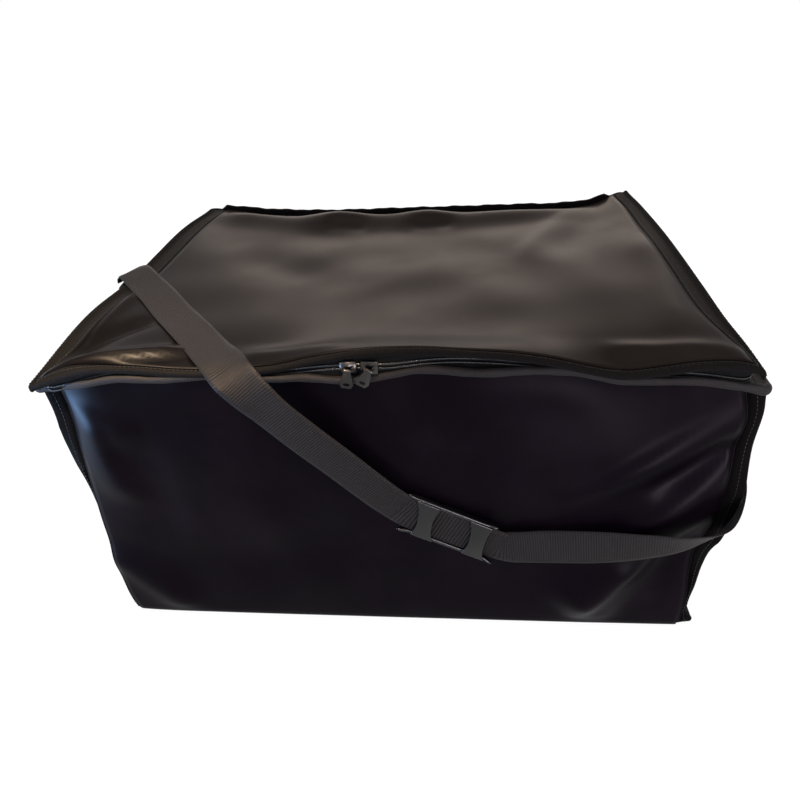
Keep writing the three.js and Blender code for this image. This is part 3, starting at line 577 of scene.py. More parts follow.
class Settle:
    """How the empty bag has settled: one smooth movement of space for the case and one for the lid."""

    # Stops across the front are (x, amount), stops of an edge that runs up or back are (z or y, amount).
    SET_BACK = ((-300, 0), (-240, 4), (-180, 5), (-122, 7), (-70, 4), (-14, 1), (34, 7), (88, 6), (150, 8),
                (223, 7), (262, 3), (300, 0))
    RIM_LIFT = ((-319, -3), (-296, 2), (-269, 6.7), (-238, 11.4), (-196, 10), (-161, 12), (-93, 8.7),
                (-65, 10.8), (-32, 9.2), (9, 12), (34, 15), (88, 12), (134, 13), (171, 10), (200, 2.5),
                (235, 2.5), (262, 4), (298, 0), (320, -4))
    LID_LIFT = ((-306, -6.5), (-280, -3), (-255, 1), (-215, -0.7), (-179, -5), (-122, -6), (-90, -2.3),
                (-54, 7), (-11, 14.4), (22, 14), (71, 10.7), (119, 5.7), (151, -1), (180, -9), (205, -13.5),
                (232, -9), (258, -1), (284, 3), (300, -1), (306, -4))
    CHAIN_LIFT = ((-302, -2.5), (-278, -1), (-240, 3), (-180, 2), (-122, -1), (-80, 4), (-34, 11), (-14, 12),
                  (6, 11.2), (60, 11), (130, 6), (180, -1), (223, -5), (268, -1), (302, -1))
    CHAIN_BACK = ((-302, 0), (-240, 4), (-122, 7), (-70, 4), (-34, 0), (6, 0), (45, 7), (150, 8), (223, 8),
                  (300, 0))
    BACK_SAG = ((-300, 0), (-262, -3), (-215, -8), (-150, -12), (0, -14), (150, -15), (235, -15), (262, -12),
                (284, -4), (300, 1))
    LID_SIDE_LEFT = ((-238, 0), (-185, -2), (-110, -5), (-47, -1), (45, -2), (159, -3), (228, 4))
    LID_SIDE_RIGHT = ((-238, 0), (-205, 0), (-169, -1), (-92, 2), (-6, 4), (174, 5), (228, 1))
    LID_BAND_LEFT = ((-228, 9), (-205, 3), (-185, -1), (-132, -3), (-47, -4), (-8, -6), (204, -8))
    LID_BAND_RIGHT = ((-228, 10), (-190, 6), (-146, 1), (-40, -1), (80, -2), (204, 0))
    FRONT_LEFT_EDGE = ((0, -3), (12, -8), (30, -12), (66, -15), (116, -15), (169, -11), (204, -7), (237, -3),
                       (268, 1), (300, 1))
    LEFT_CURL = ((0, 1), (60, 2), (120, 4), (180, 7), (240, 10), (285, 13), (305, 12))
    FRONT_RIGHT_EDGE = ((0, 1), (20, 3), (45, 4), (87, 1), (109, 1), (127, 5), (182, 9), (240, 8), (285, 8),
                        (309, 2))
    # Where each zone begins and is in full: y for front and back, |x| for the sides, z for the top.
    FRONT_ZONE, BACK_ZONE, SIDE_ZONE, TOP_ZONE = (-120, -222), (120, 222), (215, 298), (222, 306)
    ZIP_ZONE = (-200, -226)
    WALL_HIGH = 300.0
    # How far the cloth stands out, waves, is drawn in, hangs or lifts, in millimetres.
    FRONT_BELLY, BACK_BELLY, SIDE_BELLY = 3.5, 4.0, 5.0
    FRONT_WAVES, BACK_WAVES, SIDE_WAVES = 1.1, 2.2, 2.4
    FOOT_OUT = 13.4
    FOOT_TOP = 110.0
    BACK_DRAWN_IN = 7.0
    CURL_FROM, CURL_WIDTH = -252.0, 50.0
    RIM_WAVE, RIM_WAVE_LENGTH = 0.9, 47.0
    CORNER_X, CORNER_Y, CORNER_REACH = 304.0, -234.0, 40.0
    LID_DROOP = ((-10.0, -2.0, -9.0), (6.0, -3.0, -7.0))
    ZIP_DROOP = ((-5.0, 0.0, -7.0), (5.0, -1.0, -6.0))
    LID_BACK, LID_HALF, LID_HALF_DEPTH = 228.0, 300.0, 236.0
    LID_SAG, LID_WAVES, LID_DRAWN_IN = 13.0, 1.2, 6.0
    SEAM_DIP = 2.5
    SET_BACK_KEPT = 0.8
    LID_EDGE_WAVE, LID_EDGE_WAVE_LENGTH = 0.9, 39.0
    FRONT_FOLDS = (
        Fold((308, 298), (182, 186), 13, 7, bend=6, skew=0.35),
        Fold((300, 228), (200, 112), 12, 5.5, bend=4, skew=0.3),
        Fold((292, 196), (206, 22), 32, 10, bend=-6, skew=-0.3),
        Fold((243, 108), (186, 34), 24, 11, bend=-3, skew=-0.3),
        Fold((302, 258), (246, 196), 9, -5, bend=2),
        Fold((296, 140), (262, 40), 15, -5, bend=-3),
        Fold((-301, 292), (-238, 256), 15, 7, bend=-4, skew=-0.3),
        Fold((-284, 284), (-258, 176), 17, 6, bend=-4, skew=-0.3),
        Fold((-246, 250), (-240, 120), 26, -4, bend=6),
        Fold((-312, 96), (-236, 16), 20, 6, bend=6),
        Fold((-210, 300), (-60, 292), 13, 3.5, bend=-3),
        Fold((40, 296), (180, 286), 14, 4, bend=3),
        Fold((-150, 268), (120, 262), 26, -3.5, bend=5),
        Fold((120, 96), (-120, 60), 44, 3.5, bend=-8),
    )
    LID_FOLDS = (
        Fold((-290, -226), (-176, -198), 10, 8.5, bend=-4, skew=0.35),
        Fold((-286, -196), (-240, -132), 13, -6, bend=3),
        Fold((-293, -205), (-283, -60), 8, 4.5, bend=1),
        Fold((-128, -206), (-30, -212), 12, 3, bend=2),
        Fold((-280, 208), (-52, 184), 34, 8.5, bend=-4),
        Fold((-136, 188), (56, 184), 34, 7, bend=3),
        Fold((-16, 184), (250, 206), 34, 8.5, bend=-4),
        Fold((-110, 162), (-58, 158), 16, -4, bend=2),
        Fold((8, 158), (62, 162), 16, -4, bend=-2),
        Fold((238, 190), (150, 30), 22, 2.6, bend=-9, skew=0.3),
        Fold((262, 160), (180, 30), 24, -1.6, bend=-7),
        Fold((280, 60), (262, -190), 20, 4, bend=5),
        Fold((200, -196), (292, -214), 12, 4, bend=-3),
        Fold((-60, 20), (120, -90), 60, 3, bend=12),
        Fold((-190, 60), (-40, -40), 40, -3, bend=-9),
    )

    @classmethod
    def case(cls, points: np.ndarray) -> np.ndarray:
        """Moves points of the case to where the settled bag holds them.

        Args:
            points: Places on the straight case, last axis x, y, z.

        Returns:
            The settled places.
        """
        x, y, z = (points[..., axis].astype(float) for axis in range(3))
        out = np.array(points, dtype=float)
        front, back = ease(*cls.FRONT_ZONE, y), ease(*cls.BACK_ZONE, y)
        side = ease(*cls.SIDE_ZONE, np.abs(x))
        top = ease(*cls.TOP_ZONE, z)
        high = np.clip(z / cls.WALL_HIGH, 0, 1)
        halfway = np.sin(math.pi * high)
        belly = halfway * fading(x, 330, 2)
        folds = raised_by(cls.FRONT_FOLDS, x, z) + cls.FRONT_WAVES * ripple(x, z, 96, 0.4) * fading(x, 318, 8)
        folds = folds * ease(0, 26, z) * (1 - 0.75 * top)
        foot = cls.FOOT_OUT * ease(cls.FOOT_TOP, 0, z) * (1 - 0.07 * (x / SIDE_X) ** 4)
        out[..., 1] += front * (spline(cls.SET_BACK, x) * top - cls.FRONT_BELLY * belly - foot - folds)
        waves = cls.BACK_WAVES * ripple(x, z, 150, 1.9) * halfway
        out[..., 1] += back * (cls.BACK_BELLY * belly + waves - cls.BACK_DRAWN_IN * top * fading(x, 296, 4))
        curled = np.clip((cls.CURL_FROM - x) / cls.CURL_WIDTH, 0, 1) ** 2
        out[..., 1] += front * spline(cls.LEFT_CURL, z) * curled
        edge = np.where(x < 0, spline(cls.FRONT_LEFT_EDGE, z), spline(cls.FRONT_RIGHT_EDGE, z))
        out[..., 0] += edge * side * front
        bulge = cls.SIDE_BELLY * halfway * fading(y, 246, 2)
        bulge += cls.SIDE_WAVES * ripple(y, z, 130, 0.8) * halfway * fading(y, 232, 6)
        out[..., 0] += np.sign(x) * side * bulge
        out[..., 2] += front * top * spline(cls.RIM_LIFT, x)
        out[..., 2] += back * ease(200, 320, z) * spline(cls.BACK_SAG, x)
        between = (1 - front) * (1 - back)
        out[..., 2] += cls.RIM_WAVE * top * side * between * np.sin(y / cls.RIM_WAVE_LENGTH)
        return out

    @classmethod
    def droop(cls, points: np.ndarray, left: Spot, right: Spot) -> np.ndarray:
        """How far the front corners hang outward and down.

        Args:
            points: Places on the level lid or zip, last axis x, y, z.
            left: Movement of the left corner.
            right: Movement of the right corner.

        Returns:
            The movement of each point.
        """
        away = np.hypot(np.abs(points[..., 0]) - cls.CORNER_X, points[..., 1] - cls.CORNER_Y)
        near = np.exp(-((away / cls.CORNER_REACH) ** 2))
        return near[..., None] * np.where(points[..., :1] < 0, np.array(left), np.array(right))

    @classmethod
    def lid(cls, points: np.ndarray) -> np.ndarray:
        """Moves points of the flat lid to where the settled lid lies.

        Args:
            points: Places on a lid whose top is level, last axis x, y, z.

        Returns:
            The settled places.
        """
        x, y = points[..., 0].astype(float), points[..., 1].astype(float)
        out = np.array(points, dtype=float)
        from_front, from_back = np.maximum(y - RIM_Y, 0), np.maximum(cls.LID_BACK - y, 0)
        half = cls.LID_HALF
        out[..., 2] += spline(cls.LID_LIFT, x) * np.exp(-((from_front / 62) ** 1.3))
        out[..., 2] += spline(cls.BACK_SAG, x) * np.exp(-((from_back / 110) ** 1.3))
        out[..., 2] -= cls.SEAM_DIP * np.exp(-from_back / 12) * fading(x, half, 8)
        sag = cls.LID_SAG * fading(x, half, 2) * fading(y, cls.LID_HALF_DEPTH, 2)
        out[..., 2] -= sag * ease(0, 60, from_front)
        inner = fading(x, half, 10) * ease(2, 26, from_front) * ease(0, 40, from_back)
        edge_folds = fading(x, half, 24) * ease(-4, 10, from_front) * ease(0, 40, from_back)
        waves = cls.LID_WAVES * ripple(x, y, 120, 2.6) * inner
        out[..., 2] += raised_by(cls.LID_FOLDS, x, y) * edge_folds + waves
        out[..., 1] += spline(cls.SET_BACK, x) * cls.SET_BACK_KEPT * np.exp(-from_front / 45)
        out[..., 1] -= cls.LID_DRAWN_IN * fading(x, 296, 4) * np.exp(-from_back / 60)
        sides = np.where(x < 0, spline(cls.LID_SIDE_LEFT, y), spline(cls.LID_SIDE_RIGHT, y))
        out[..., 0] += sides * ease(200, 300, np.abs(x))
        seam = np.where(x < 0, -spline(cls.LID_BAND_LEFT, y), spline(cls.LID_BAND_RIGHT, y))
        out[..., 0] += seam * ease(190, 288, np.abs(x)) * ease(307, 289, np.abs(x))
        edge_wave = cls.LID_EDGE_WAVE * np.sin(y / cls.LID_EDGE_WAVE_LENGTH + np.sign(x))
        out[..., 2] += edge_wave * ease(250, 300, np.abs(x)) * ease(0, 60, from_front)
        return out + cls.droop(points, *cls.LID_DROOP)

    @classmethod
    def zip_line(cls, points: np.ndarray) -> np.ndarray:
        """Moves points of the level zip to where its coil runs.

        Args:
            points: Places on the level zip, last axis x, y, z.

        Returns:
            The settled places.
        """
        x, y = points[..., 0].astype(float), points[..., 1].astype(float)
        out = np.array(points, dtype=float)
        front = ease(*cls.ZIP_ZONE, y)
        out[..., 1] += front * spline(cls.CHAIN_BACK, x)
        out[..., 2] += front * spline(cls.CHAIN_LIFT, x)
        return out + cls.droop(points, *cls.ZIP_DROOP)


def case_section(depth: float, front_top: float, back_top: float, step: float = 4.0) -> np.ndarray:
    """The case's section in Y and Z, from the front's top, under the base, to the back's top.

    Args:
        depth: How far inside the outer face.
        front_top: Height of its front end.
        back_top: Height of its back end.
        step: Spacing on the front, doubled elsewhere.

    Returns:
        Pairs of y and z, the same count for every depth.
    """
    wall_run, floor_run, least_radius = 300, 440, 1.0
    radius = BASE_RADIUS - depth if depth < BASE_RADIUS - least_radius else least_radius
    y, corner = BACK_Y - depth, BACK_Y - depth - radius
    turn = np.linspace(0, math.pi / 2, 8)
    rise = np.linspace(front_top, depth + radius, int(wall_run / step))
    parts = [np.stack([np.full_like(rise, -y), rise], 1)]
    parts.append(np.stack([-corner - radius * np.cos(turn), depth + radius - radius * np.sin(turn)], 1)[1:])
    floor = np.linspace(-corner, corner, int(floor_run / (2 * step)))
    parts.append(np.stack([floor, np.full_like(floor, depth)], 1)[1:])
    parts.append(np.stack([corner + radius * np.sin(turn), depth + radius - radius * np.cos(turn)], 1)[1:])
    rise = np.linspace(depth + radius, back_top, int(wall_run / (2 * step)))
    parts.append(np.stack([np.full_like(rise, y), rise], 1)[1:])
    return np.concatenate(parts)


def carried_across(section: np.ndarray, across: np.ndarray) -> np.ndarray:
    """A section in Y and Z set at each X.

    Args:
        section: Pairs of y and z.
        across: The places along X.

    Returns:
        Points, rows by columns by three.
    """
    grid = np.zeros((len(section), len(across), 3))
    grid[..., 0] = across[None, :]
    grid[..., 1:] = section[:, None, :]
    return grid


def at_height(z: float) -> Callable:
    """A function that gives points at one height from x and y."""
    return lambda x, y: np.stack([x, y, np.full_like(x, z)], -1)


def wall_grid(low: Pair, high: Pair, level: Callable, step: float = 8.0) -> np.ndarray:
    """A grid over a flat wall.

    Args:
        low: Lowest values of its two running coordinates.
        high: Highest values.
        level: Gives points from the two coordinates.
        step: Spacing.

    Returns:
        Points, rows by columns by three.
    """
    first = np.linspace(low[0], high[0], max(int((high[0] - low[0]) / step), 2) + 1)
    second = np.linspace(low[1], high[1], max(int((high[1] - low[1]) / step), 2) + 1)
    return level(*np.meshgrid(first, second, indexing="xy"))


def lobed_ring(width: float, roll: float, flat: float, sides: int = 18) -> np.ndarray:
    """The section of a folded binding: a round roll at its outer edge and a flat tongue behind it.

    Args:
        width: From the roll's outer edge to the tongue's end.
        roll: Radius of the roll.
        flat: Thickness of the tongue.
        sides: Points round the section.

    Returns:
        Pairs of distance from the outer edge and height, round the section.
    """
    turn = np.linspace(math.radians(38), math.radians(322), sides - 6)
    lobe = np.stack([roll + roll * np.cos(turn), roll * np.sin(turn)], 1)
    beyond = width - 2 * roll
    tongue = [(2 * roll + share * beyond, flat / 2) for share in (0.96, 0.6, 0.2)]
    under = [(place, -height) for place, height in tongue]
    return np.concatenate([tongue, lobe, under])


def edge_path(outer: Spot, inner: Spot, back_y: float, step: float) -> tuple[np.ndarray, np.ndarray]:
    """Matched points of a band's outer and inner edges, left side, front and right side.

    Args:
        outer: Half width, front line and corner radius of the outer edge.
        inner: The same of the inner edge.
        back_y: Where the band ends at the back.
        step: Spacing along the outer edge.

    Returns:
        Outer points and inner points, x and y.
    """
    counts = (int((back_y - outer[1]) / step), 14, int(2 * outer[0] / step))
    edges = []
    for half, front, radius in (outer, inner):
        turn = np.linspace(0, math.pi / 2, counts[1])[1:-1]
        side = np.linspace(back_y, front + radius, counts[0])
        line = np.linspace(-half + radius, half - radius, counts[2])
        left = np.stack([np.full_like(side, -half), side], 1)
        bend = np.stack([-half + radius - radius * np.cos(turn), front + radius - radius * np.sin(turn)], 1)
        across = np.stack([line, np.full_like(line, front)], 1)
        mirror = np.array([-1.0, 1.0])
        edges.append(np.concatenate([left, bend, across, bend[::-1] * mirror, left[::-1] * mirror]))
    return edges[0], edges[1]


@dataclass(frozen=True)
class Stitch:
    """The pitch, length and half thickness of stitches, and their turn in the cloth's plane."""

    pitch: float
    length: float
    radius: float
    lean: float = 0.0


CASE_STITCH = Stitch(4.2, 3.1, 0.42)
LID_STITCH = Stitch(4.0, 2.9, 0.4)
PATCH_STITCH = Stitch(3.4, 2.6, 0.42)
COIL_TOOTH = Stitch(1.75, 2.7, 0.85, math.pi / 2 - 0.18)


class StitchRow:
    """Rows of stitches for one body: guide lines that a geometry tree turns into sewn thread."""

    def __init__(self, name: str) -> None:
        """Starts with no lines.

        Args:
            name: Name of the piece that the stitches become.
        """
        self.name = name
        self.points: list[np.ndarray] = []
        self.aims: list[np.ndarray] = []
        self.edges: list[tuple[int, int]] = []

    def add(self, line: np.ndarray, aim: np.ndarray) -> None:
        """Adds a line of stitches.

        Args:
            line: Points on the cloth, in millimetres.
            aim: The way that the cloth faces, one row for all points or one each.
        """
        first = sum(len(points) for points in self.points)
        self.points.append(np.asarray(line, dtype=float))
        self.aims.append(np.broadcast_to(np.asarray(aim, dtype=float), self.points[-1].shape))
        self.edges += [(first + step, first + step + 1) for step in range(len(line) - 1)]

    def sew(self, finish: Finish, stitch: Stitch, body: str) -> Piece:
        """Grows the stitches along the lines.

        Args:
            finish: The thread's finish.
            stitch: The stitches' size and spacing.
            body: The body that they ride on.

        Returns:
            One plain mesh object.
        """
        mesh = bpy.data.meshes.new(f"{self.name}_guide")
        mesh.from_pydata((np.concatenate(self.points) * MM).tolist(), self.edges, [])
        aim = mesh.attributes.new("aim", "FLOAT_VECTOR", "POINT")
        aim.data.foreach_set("vector", np.concatenate(self.aims).astype(np.float32).ravel())
        guide = linked(f"{self.name}_guide", mesh)
        group = stitch_tree(finish)
        modifier = guide.modifiers.new("stitches", "NODES")
        modifier.node_group = group
        sizes = {"Pitch": stitch.pitch * MM, "Length": stitch.length * MM, "Radius": stitch.radius * MM,
                 "Lean": stitch.lean}
        for item in group.interface.items_tree:
            if item.in_out == "INPUT" and item.name in sizes:
                modifier[item.identifier] = sizes[item.name]
        made = baked(self.name, guide)
        finish.dress(made)
        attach(made, body)
        return made


def stitch_tree(finish: Finish) -> bpy.types.NodeTree:
    """The tree that sets one rounded stitch at even steps along guide lines.

    Args:
        finish: The finish that the stitches get.

    Returns:
        The geometry tree, with Pitch, Length, Radius and Lean inputs.
    """
    name = f"stitches_{finish.name}"
    if name in bpy.data.node_groups:
        return bpy.data.node_groups[name]
    tree = Tree(bpy.data.node_groups.new(name, "GeometryNodeTree"))
    tree.sockets(
        [("Geometry", "Geometry"), ("Pitch", "Float", 0.004), ("Length", "Float", 0.003),
         ("Radius", "Float", 0.0004), ("Lean", "Float", 0.0)], [("Geometry", "Geometry")])
    given = tree.node("NodeGroupInput")
    curve = tree.node("GeometryNodeMeshToCurve", {"Mesh": given.outputs["Geometry"]})
    even = tree.node("GeometryNodeResampleCurve", {"Curve": curve.outputs["Curve"]})
    even.mode = "LENGTH"
    tree.tree.links.new(given.outputs["Pitch"], even.inputs["Length"])
    along = tree.node("GeometryNodeInputTangent")
    facing = tree.node("GeometryNodeInputNamedAttribute", {"Name": "aim"}, data_type="FLOAT_VECTOR")
    first = tree.node("FunctionNodeAlignRotationToVector", {"Vector": along.outputs["Tangent"]}, axis="X")
    second = tree.node("FunctionNodeAlignRotationToVector", {
        "Rotation": first.outputs["Rotation"],
        "Vector": facing.outputs["Attribute"]}, axis="Z", pivot_axis="X")
    lean = tree.node("ShaderNodeCombineXYZ", {"Z": given.outputs["Lean"]})
    turned = tree.node("FunctionNodeRotateRotation", {
        "Rotation": second.outputs["Rotation"], "Rotate By": lean.outputs["Vector"]}, rotation_space="LOCAL")
    half = tree.node("ShaderNodeMath", {0: given.outputs["Length"], 1: 0.5}, operation="MULTIPLY")
    flat = tree.node("ShaderNodeMath", {0: given.outputs["Radius"], 1: 0.75}, operation="MULTIPLY")
    size = tree.node("ShaderNodeCombineXYZ", {
        "X": half.outputs[0], "Y": given.outputs["Radius"], "Z": flat.outputs[0]})
    bead = tree.node("GeometryNodeMeshUVSphere", {"Segments": 6, "Rings": 4, "Radius": 1.0})
    turned_bead = tree.node("GeometryNodeTransform", {
        "Geometry": bead.outputs["Mesh"], "Rotation": (0.0, math.pi / 2, 0.0)})
    thread = tree.node("GeometryNodeTransform", {"Geometry": turned_bead.outputs["Geometry"]})
    tree.tree.links.new(size.outputs["Vector"], thread.inputs["Scale"])
    set_out = tree.node("GeometryNodeInstanceOnPoints", {
        "Points": even.outputs["Curve"], "Instance": thread.outputs["Geometry"],
        "Rotation": turned.outputs["Rotation"]})
    real = tree.node("GeometryNodeRealizeInstances", {"Geometry": set_out.outputs["Instances"]})
    dressed = tree.node("GeometryNodeSetMaterial", {
        "Geometry": real.outputs["Geometry"], "Material": finish.material()})
    tree.node("NodeGroupOutput", {"Geometry": dressed.outputs["Geometry"]})
    return tree.tree


def placed(piece: Piece, finish: Finish, body: str, node: str) -> Piece:
    """Dresses a piece, lets it ride on its body and puts it in its node's place.

    Args:
        piece: The piece.
        finish: Its finish.
        body: The body that it moves with.
        node: The node that it is shown for.

    Returns:
        The piece.
    """
    finish.dress(piece)
    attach(piece, body)
    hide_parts(node)
    return piece


@dataclass
class Case:
    """The case: the wrapped front, base and back, the side panels, foam, board and lining."""

    skin: float = SKIN
    foam: float = 10.0
    lining: float = 0.8
    across: float = 300.5
    back_top: float = 325.1
    clearance: float = 0.3
    foam_low: float = 11.8
    end_foam_lift: float = 6.0
    base_foam: Pair = (1.5, 11.5)
    base_foam_inset: float = 5.0
    board: Pair = (11.8, 14.2)
    liner_low: float = 14.5
    tub_half: Pair = (290.0, 218.0)
    tub_counts: tuple[int, int] = (46, 36)
    tub_bend: float = 7.0
    tub_corner: float = 9.0
    crease: float = 1.5
    step: float = 5.0
    side_step: float = 7.0
    foam_step: float = 12.0
    floor_step: float = 20.0

    def build(self) -> list[Piece]:
        """Makes and places every piece of the case."""
        return [self.wrap(), *self.sides(), *self.sheets(), self.liner()]

    def wrap(self) -> Piece:
        """One cloth over the front, the base and the back.

        Returns:
            The cloth.
        """
        across = np.linspace(-self.across, self.across, int(2 * self.across / self.step))
        faces = [
            Settle.case(carried_across(case_section(depth, WALL_TOP, self.back_top), across))
            for depth in (0.0, self.skin)]
        return placed(slab("wrap_cloth", *faces), COATED, "bag", "outer_wrap")

    @staticmethod
    def side_points(x: float, y: np.ndarray, share: np.ndarray) -> np.ndarray:
        """Points of a side panel, which is cut round at its lower corners.

        Args:
            x: The panel's place.
            y: How far back the points are.
            share: How far up they are, in parts of SIDE_PARTS.

        Returns:
            The points.
        """
        over = np.maximum(np.abs(y) - (BACK_Y - BASE_RADIUS), 0)
        low = BASE_RADIUS - np.sqrt(np.maximum(BASE_RADIUS ** 2 - over ** 2, 0))
        return np.stack([np.full_like(y, x), y, low + (WALL_TOP - low) * share / SIDE_PARTS], -1)

    def sides(self) -> list[Piece]:
        """The two side panels, bellied and slightly creased.

        Returns:
            The panels.
        """
        made = []
        for name, side in (("left", -1), ("right", 1)):
            grids = [
                Settle.case(wall_grid((FRONT_Y, 0), (BACK_Y, SIDE_PARTS),
                                      lambda y, share, x=x: self.side_points(x, y, share), self.side_step))
                for x in (side * SIDE_X, side * (SIDE_X - self.skin))]
            made.append(placed(slab(f"{name}_side_cloth", *grids), COATED, "bag", f"{name}_side_panel"))
        return made

    def sheets(self) -> list[Piece]:
        """The foam between cloth and lining, and the board under it.

        Returns:
            The foam of the four walls, the foam of the base and the board.
        """
        out_x, out_y = self.across, BACK_Y - self.skin - self.clearance
        in_x, in_y = out_x - self.foam, out_y - self.foam
        side_y = in_y - self.clearance
        end_low = self.foam_low + self.end_foam_lift
        walls = (
            ("front_foam", out_x, end_low, lambda a, b, d: [a, np.full_like(a, -out_y + d), b]),
            ("back_foam", out_x, end_low, lambda a, b, d: [a, np.full_like(a, out_y - d), b]),
            ("left_foam", side_y, self.foam_low, lambda a, b, d: [np.full_like(a, -out_x + d), a, b]),
            ("right_foam", side_y, self.foam_low, lambda a, b, d: [np.full_like(a, out_x - d), a, b]),
        )
        made = []
        for name, half, low, columns in walls:
            grids = [
                Settle.case(wall_grid((-half, low), (half, WALL_TOP),
                                      lambda a, b, d=d: np.stack(columns(a, b, d), -1), self.foam_step))
                for d in (0.0, self.foam)]
            made.append(placed(slab(f"{name}_sheet", *grids), FOAM, "bag", name))
        floors = (
            ("base_foam", self.base_foam, (out_x, out_y - self.base_foam_inset), FOAM),
            ("base_board", self.board, (in_x - self.clearance, side_y), BOARD),
        )
        for name, levels, (half_x, half_y), finish in floors:
            grids = [
                Settle.case(wall_grid((-half_x, -half_y), (half_x, half_y), at_height(z), self.floor_step))
                for z in levels]
            made.append(placed(slab(f"{name}_sheet", *grids), finish, "bag", name))
        return made

    def liner(self) -> Piece:
        """The open tub of lining, one skin folded up from its floor, with soft creases.

        Returns:
            The tub.
        """
        half_x, half_y = self.tub_half
        bend = self.tub_bend
        rings = []
        for wall in (0.0, self.lining):
            grid = []
            for share in np.linspace(1, 0, 32):
                z = self.liner_low + wall + (WALL_TOP - self.liner_low - wall) * share
                round_in = bend * (1 - min((z - self.liner_low - wall) / bend, 1)) ** 2
                grid.append(self.tub_ring(half_x - wall - round_in, half_y - wall - round_in, z))
            for shrink in (0.8, 0.55, 0.3, 0.1):
                grid.append(self.tub_ring((half_x - bend) * shrink, (half_y - bend) * shrink,
                                          self.liner_low + wall))
            points = np.array(grid)
            crease = self.crease * ripple(points[..., 0] + points[..., 1], points[..., 2], 74, 0.9)
            inward = 1 - np.clip(np.abs(points[..., 0]) / half_x, 0, 1) ** 30
            points[..., 1] -= np.sign(points[..., 1]) * np.maximum(crease, 0) * inward
            rings.append(Settle.case(points))
        count, sides = rings[0].shape[:2]
        total = count * sides
        faces = list(grid_faces(count, sides, wrap=True)) + list(grid_faces(count, sides, total, wrap=True))
        faces += [tuple(range(total - sides, total)), tuple(range(2 * total - sides, 2 * total))]
        faces += [(a, (a + 1) % sides, (a + 1) % sides + total, a + total) for a in range(sides)]
        piece = make_object("lining_tub", np.concatenate([ring.reshape(-1, 3) for ring in rings]), faces)
        return placed(piece, LINING, "bag", "inner_liner")

    def tub_ring(self, half_x: float, half_y: float, z: float) -> np.ndarray:
        """One level ring of the tub's wall, with slightly rounded corners.

        Args:
            half_x: Half its width.
            half_y: Half its depth.
            z: Its height.

        Returns:
            The ring's points.
        """
        radius = min(self.tub_corner, half_x * 0.3, half_y * 0.3)
        steps = 6
        corner = rounded(half_x, half_y, radius, steps).reshape(4, steps, 2)[:, 1:-1]
        count_x, count_y = self.tub_counts
        run_x = np.linspace(-half_x + radius, half_x - radius, count_x)
        run_y = np.linspace(-half_y + radius, half_y - radius, count_y)
        ring = np.concatenate([
            np.stack([np.full_like(run_y, half_x), run_y], 1), corner[0],
            np.stack([run_x[::-1], np.full_like(run_x, half_y)], 1), corner[1],
            np.stack([np.full_like(run_y, -half_x), run_y[::-1]], 1), corner[2],
            np.stack([run_x, np.full_like(run_x, -half_y)], 1), corner[3]])
        return np.column_stack([ring, np.full(len(ring), z)])


def span(start: np.ndarray, end: np.ndarray) -> float:
    """How far apart two places are."""
    return float(np.hypot(*(end - start)))


def set_across(start: np.ndarray, end: np.ndarray, section: np.ndarray, z: float) -> np.ndarray:
    """A band's section at height z, set level from its outer edge towards its inner edge."""
    way = (end - start) / span(start, end)
    return np.column_stack([start + way * section[:, :1], z + section[:, 1]])


